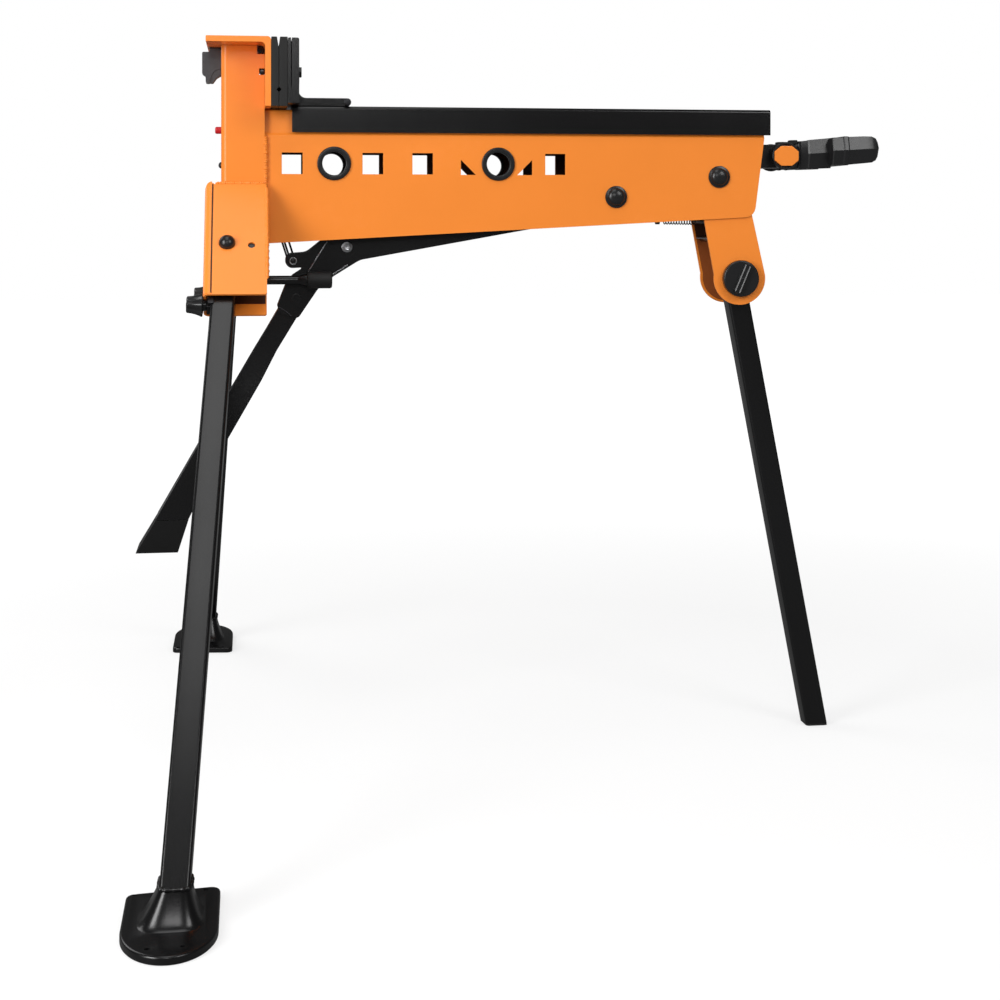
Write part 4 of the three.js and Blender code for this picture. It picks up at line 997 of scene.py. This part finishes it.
def star_grip():
    """A five-lobed grip along X: a radius at each station, times 0.87 plus 0.13 cosine of five angles.

    The radius grows with the square of the distance from the nose; quarter ellipses round both ends."""
    length, seat, nose = 22, 2.0, 2.5
    seat_step, nose_step = 1.6, 2.2
    station = np.concatenate([[0, 0], np.linspace(0, 1, 10) * seat, np.linspace(4, 18.5, 8),
                              length - nose * np.cos(np.linspace(0.3, np.pi / 2, 8)), [length]])

    def rounding(depth):
        return np.sqrt(1 - np.clip(depth, 0, 1) ** 2)

    base = 11.6 + 5.4 * (1 - station / length) ** 2
    radius = (base - seat_step + rounding(1 - station / seat) * seat_step
              - nose_step + rounding((station - (length - nose)) / nose) * nose_step)
    radius[[0, -1]] = 0
    angle = np.linspace(0, 2 * np.pi, 100, endpoint=False)
    reach = radius[:, None] * (0.87 + 0.13 * np.cos(5 * angle))
    points = grid_points(-station[:, None], reach * np.cos(angle), reach * np.sin(angle))
    return points, grid_faces(len(station), len(angle), round_columns=True)


# Leg brackets, from the leg's bolt: edge and front of the strip, the top, and the corner's drop
STRIP_EDGE, STRIP_FRONT = -21.4, -31.0
BRACKET_TOP, CORNER_DROP = 108.6, 12.0


def dress_bracket(side, sign, tilt, bolt):
    """The bracket, its front top corner rounded, with wrapped strip, a dark strip of painted shadow in
    its seam, welds, a dark sheet of painted shade inside, and plug.

    The strip's top falls away from its edge along a quarter ellipse, and the corner's cut follows it."""

    def put(name, shape, slot, **finish):
        detail(name + side, set_in(mirrored(shape, sign), tilt, bolt), slot, **finish)

    bend = np.linspace(0, np.pi / 2, 14)
    corner = np.stack([STRIP_EDGE + (STRIP_FRONT - STRIP_EDGE) * np.sin(bend),
                       BRACKET_TOP - 0.4 - CORNER_DROP * (1 - np.cos(bend))], axis=1)
    beyond, above = STRIP_FRONT - 6, BRACKET_TOP + 30
    outside = np.concatenate([corner, [[beyond, BRACKET_TOP - CORNER_DROP], [beyond, above],
                                       [STRIP_EDGE, above]]])
    cut = set_in(mirrored(prism(outside, "y", -40, 40), sign), tilt, bolt)
    broken_edges("leg_bracket_" + side, 0.35, [cut])
    plan = eased([[-31, 17], [-31, 25.5], [-21.4, 25.5], [-21.4, 22.5], [-27.6, 22.5], [-27.6, 17]],
                 [0.3, 7, 0.4, 0.4, 4, 0.3], 7)
    points, faces = prism(plan, "z", -84, BRACKET_TOP)
    across = np.clip((STRIP_EDGE - points[:, 0]) / (STRIP_EDGE - STRIP_FRONT), 0, 1)
    points[:, 2] -= np.where(points[:, 2] > 0, CORNER_DROP * (1 - np.sqrt(1 - across ** 2)), 0)
    put("bracket_strip_", (points, faces), "orange_paint", width=0.9)
    # A dark strip of painted shadow down the seam between strip and bracket
    put("bracket_gap_", block((-21.45, -19.5), (23.5, 25.12), (-83, 104.4)), "rubber")
    put("bracket_weld_", bead([53.4, 23.6, -60], [53.4, 23.6, 99], 2.8), "orange_paint", sharp=WELD_SHARP)
    put("bracket_bead_", bead([-17, 24.4, 106.4], [51, 24.4, 106.4], 2.2, ACROSS), "orange_paint",
        sharp=WELD_SHARP)
    # A dark sheet of painted shade on the bracket's inside, where it lies in shade
    put("bracket_shade_sheet_", block((-23.5, 51.6), (-22.1, -21.6), (-68, 47)), "orange_paint")
    put("bracket_plug_", moved(rods(18.5, 22.9, 4.9), 32.8, 0, -3.5), "black_plastic")


def leg_bolt():
    """A shaft with spacers, a dome on the outside and a nut on the inside."""
    shaft = [[11.2, 25.9], [11.2, 25.5], [6, 25.4], [6, 21.6], [10, 21.6], [10, 16.5], [6, 16.5],
             [6, -16.5], [10, -16.5], [10, -21.6], [6, -21.6], [6, -30], [0, -30]]
    nut = lathe(oblong(0, 9.5, -32.4, -25.4), [0, 1, 0.4, 0], sides=6)
    return joined(turned(np.concatenate([dome(11.0, 26.2, 9.6, 12), shaft])), nut)


def foot_weld(ankle):
    """A bead round the leg: a rounded square of power five, its thickness swelling with two waves."""
    angle = np.linspace(0, 2 * np.pi, 150)
    reach = 1 / (np.abs(np.cos(angle) / 16.8) ** 5 + np.abs(np.sin(angle) / 21.6) ** 5) ** 0.2
    ring = np.stack([ankle[0] + reach * np.cos(angle), ankle[1] + reach * np.sin(angle),
                     np.full(len(angle), 46.2)], axis=1)
    swell = 2.3 * (1 + 0.2 * np.sin(angle * 19) + 0.14 * np.sin(angle * 31 + 1))
    return wire(ring, swell, UPRIGHT)


# Clamping knob of a front leg: its height below the bolt, and the plate and clip behind it
KNOB_DROP = -87
KNOB_PLATE = -96, -78


def make_front_leg(side, sign):
    bolt = LEG_BOLT * [1, sign, 1]
    tilt = spin_x(sign * SPLAY)
    leg = tilt @ spin_y(LEAN)
    body = BODY_OF["front_leg_" + side]
    stand_in("front_leg_" + side, square_tube(leg, bolt, FRONT_END))
    down = leg @ np.array([0, 0, -1.0])
    ankle = bolt + down * (BELL_TOP - bolt[2]) / down[2]
    drills = [moved(along_z(rods(-4, 20, 3, 0.1)), x, sign * y, 0) for x, y in SOLE_HOLES]
    stand_in("foot_" + side, pressed_foot(ankle[0], sign), cutters=drills, sharp=FOOT_SHARP)
    knob = joined(moved(star_grip(), x=-26.3), along_x(rods(-28, -21.3, 8)))
    stand_in("leg_knob_" + side, set_in(moved(knob, z=KNOB_DROP), leg, bolt), sharp=FOOT_SHARP)
    plate = prism(eased(oblong(-9, 9, *KNOB_PLATE), 1.5, 4), "x", -21, -15.6)
    detail("knob_plate_" + side, set_in(plate, leg, bolt), "spring_steel", body, 0.6)
    clip = prism(eased(oblong(-19.4, -11.6, *KNOB_PLATE), 1.5, 4), "y", *on_side(sign, 14, 17.8))
    detail("knob_clip_" + side, set_in(clip, leg, bolt), "spring_steel", body, 0.7)
    dress_bracket(side, sign, tilt, bolt)
    detail("foot_weld_" + side, foot_weld(ankle), "black_paint", BODY_OF["foot_" + side],
           sharp=WELD_SHARP)
    stand_in("leg_bolt_" + side, set_in(mirrored(leg_bolt(), sign), tilt, bolt))


def make_legs():
    for side, sign in SIDES.items():
        make_front_leg(side, sign)
    stand_in("rear_leg", square_tube(spin_y(REAR_LEAN), REAR_PIVOT, REAR_END))


# Handle: stations of the grip with low, high and half width; of the arms with low, high, outside, ridge
GRIP = np.array([
    [812, 829, 866, 55], [813.5, 827.4, 867.8, 56], [828, 828, 868.4, 56], [830, 827.2, 869.7, 57],
    [835, 827.4, 869.7, 57], [837, 828.6, 869, 56], [860, 830.4, 869.9, 56], [872, 831.6, 869.7, 55.6],
    [878.5, 835, 867, 54], [881.8, 840.5, 862, 52.4], [882.6, 846, 857.5, 51]])
ARM = np.array([
    [729.3, 835, 848, 37.7, 2.6], [731, 828.5, 854.5, 37.7, 2.6], [735.5, 824.4, 859, 37.7, 2.6],
    [757, 821.6, 862, 37.7, 2.6], [759, 822.6, 861.4, 34.5, 2.6], [764, 822.6, 861.8, 34.5, 2.6],
    [767, 821.8, 863, 37.2, 2.6], [770, 822.3, 863, 34.5, 2.6], [781, 822.8, 864.2, 34.5, 2.6],
    [783, 822.4, 865, 37.7, 6.5], [816, 823.6, 868, 37.7, 6.5]])
ARM_INSIDE = 24.5
HANDLE_PIVOT = 746.0, 0, 841


def bar_rings(station, low, high, inner, outer, ridges):
    """Bar sections along X, from inner to outer in Y, whose sides come to a ridge just above half height.

    `ridges` says how far the inner and the outer ridge stand out."""
    inner_ridge, outer_ridge = ridges
    inner = np.broadcast_to(inner, station.shape)
    middle = (low + high) / 2 + 1
    across = np.stack([inner + inner_ridge, outer - outer_ridge, outer, outer - outer_ridge,
                       inner + inner_ridge, inner], axis=1)
    level = np.stack([high, high, middle, low, low, middle], axis=1)
    return grid_points(station[:, None], across, level), capped_faces(len(station), 6)


def make_handle():
    station, low, high, half = GRIP.T
    shapes = [bar_rings(station, low, high, -half, half, (5, 5))]
    station, low, high, outside, ridge = ARM.T
    arm = bar_rings(station, low, high, ARM_INSIDE, outside, (0.6, ridge))
    boss = lathe([[17, 37], [20.6, 37], [20.4, 39.6], [17, 39.6]], [0.3, 0.3, 1, 1], 5, 64, True)
    tab = prism(eased([[752, 859], [764, 859], [764, 864.6], [752, 864.2]], [0.3, 0.3, 1.4, 1.4], 4),
                "y", 26, 36)
    for sign in SIDES.values():
        shapes += [mirrored(shape, sign) for shape in (arm, moved(boss, *HANDLE_PIVOT), tab)]
    stand_in("handle_grip", joined(*shapes), 0.8, sharp=17, keen=40)


# Post beside the pedal
def make_post():
    post = lathe([[0, -66], [6.2, -66], [6.2, 37], [9.5, 49.6], [6.2, 49.8], [6.2, 81], [0, 81]],
                 [0, 0.4, 14, 0.3, 0, 0.5, 0], 6)
    stand_in("pedal_post", moved(along_x(post), *POST))
    sleeve = eased([[6.5, 50], [11.4, 50], [12, 54], [12, 85], [0, 85]], [0, 1, 4, 3.2, 0], 6, False)
    bumper = turned(np.concatenate([sleeve, [[0, 81.3], [6.5, 81.3], [6.5, 50]]]))
    stand_in("post_bumper", moved(along_x(bumper), *POST))


set_camera()
set_surround()
set_floor()
for name, lamp in LAMPS.items():
    add_lamp(name, *lamp)
make_column()
make_jaw_plate()
make_beam_fittings()
make_slide()
make_pedal()
make_rear()
make_legs()
make_handle()
make_post()

# Solids that keep their form, with their edges eased by these widths in mm
BROKEN = {
    "fixed_jaw_pad": 0.6, "moving_jaw": 0.7, "moving_jaw_pad": 0.6, "drive_bar": 0.6, "beam": 0.6,
    "pedal_arm": 0.7, "pedal_tread": 0.5, "drive_dog": 0.6, "rod_guide": 0.8, "release_lever": 0.6,
    "handle_mount": 1.2, "handle_cap_left": 1.0, "handle_cap_right": 1.0, "rear_foot_plug": 0.6,
}
for node, width in BROKEN.items():
    broken_edges(node, width)
broken_edges("lock_plate", 0.6, slot="spring_steel")

for node, solid in NODES.items():
    if node not in DRESSED:
        solid.data.materials.clear()
        solid.data.materials.append(FINISH[SLOT_OF[node]])
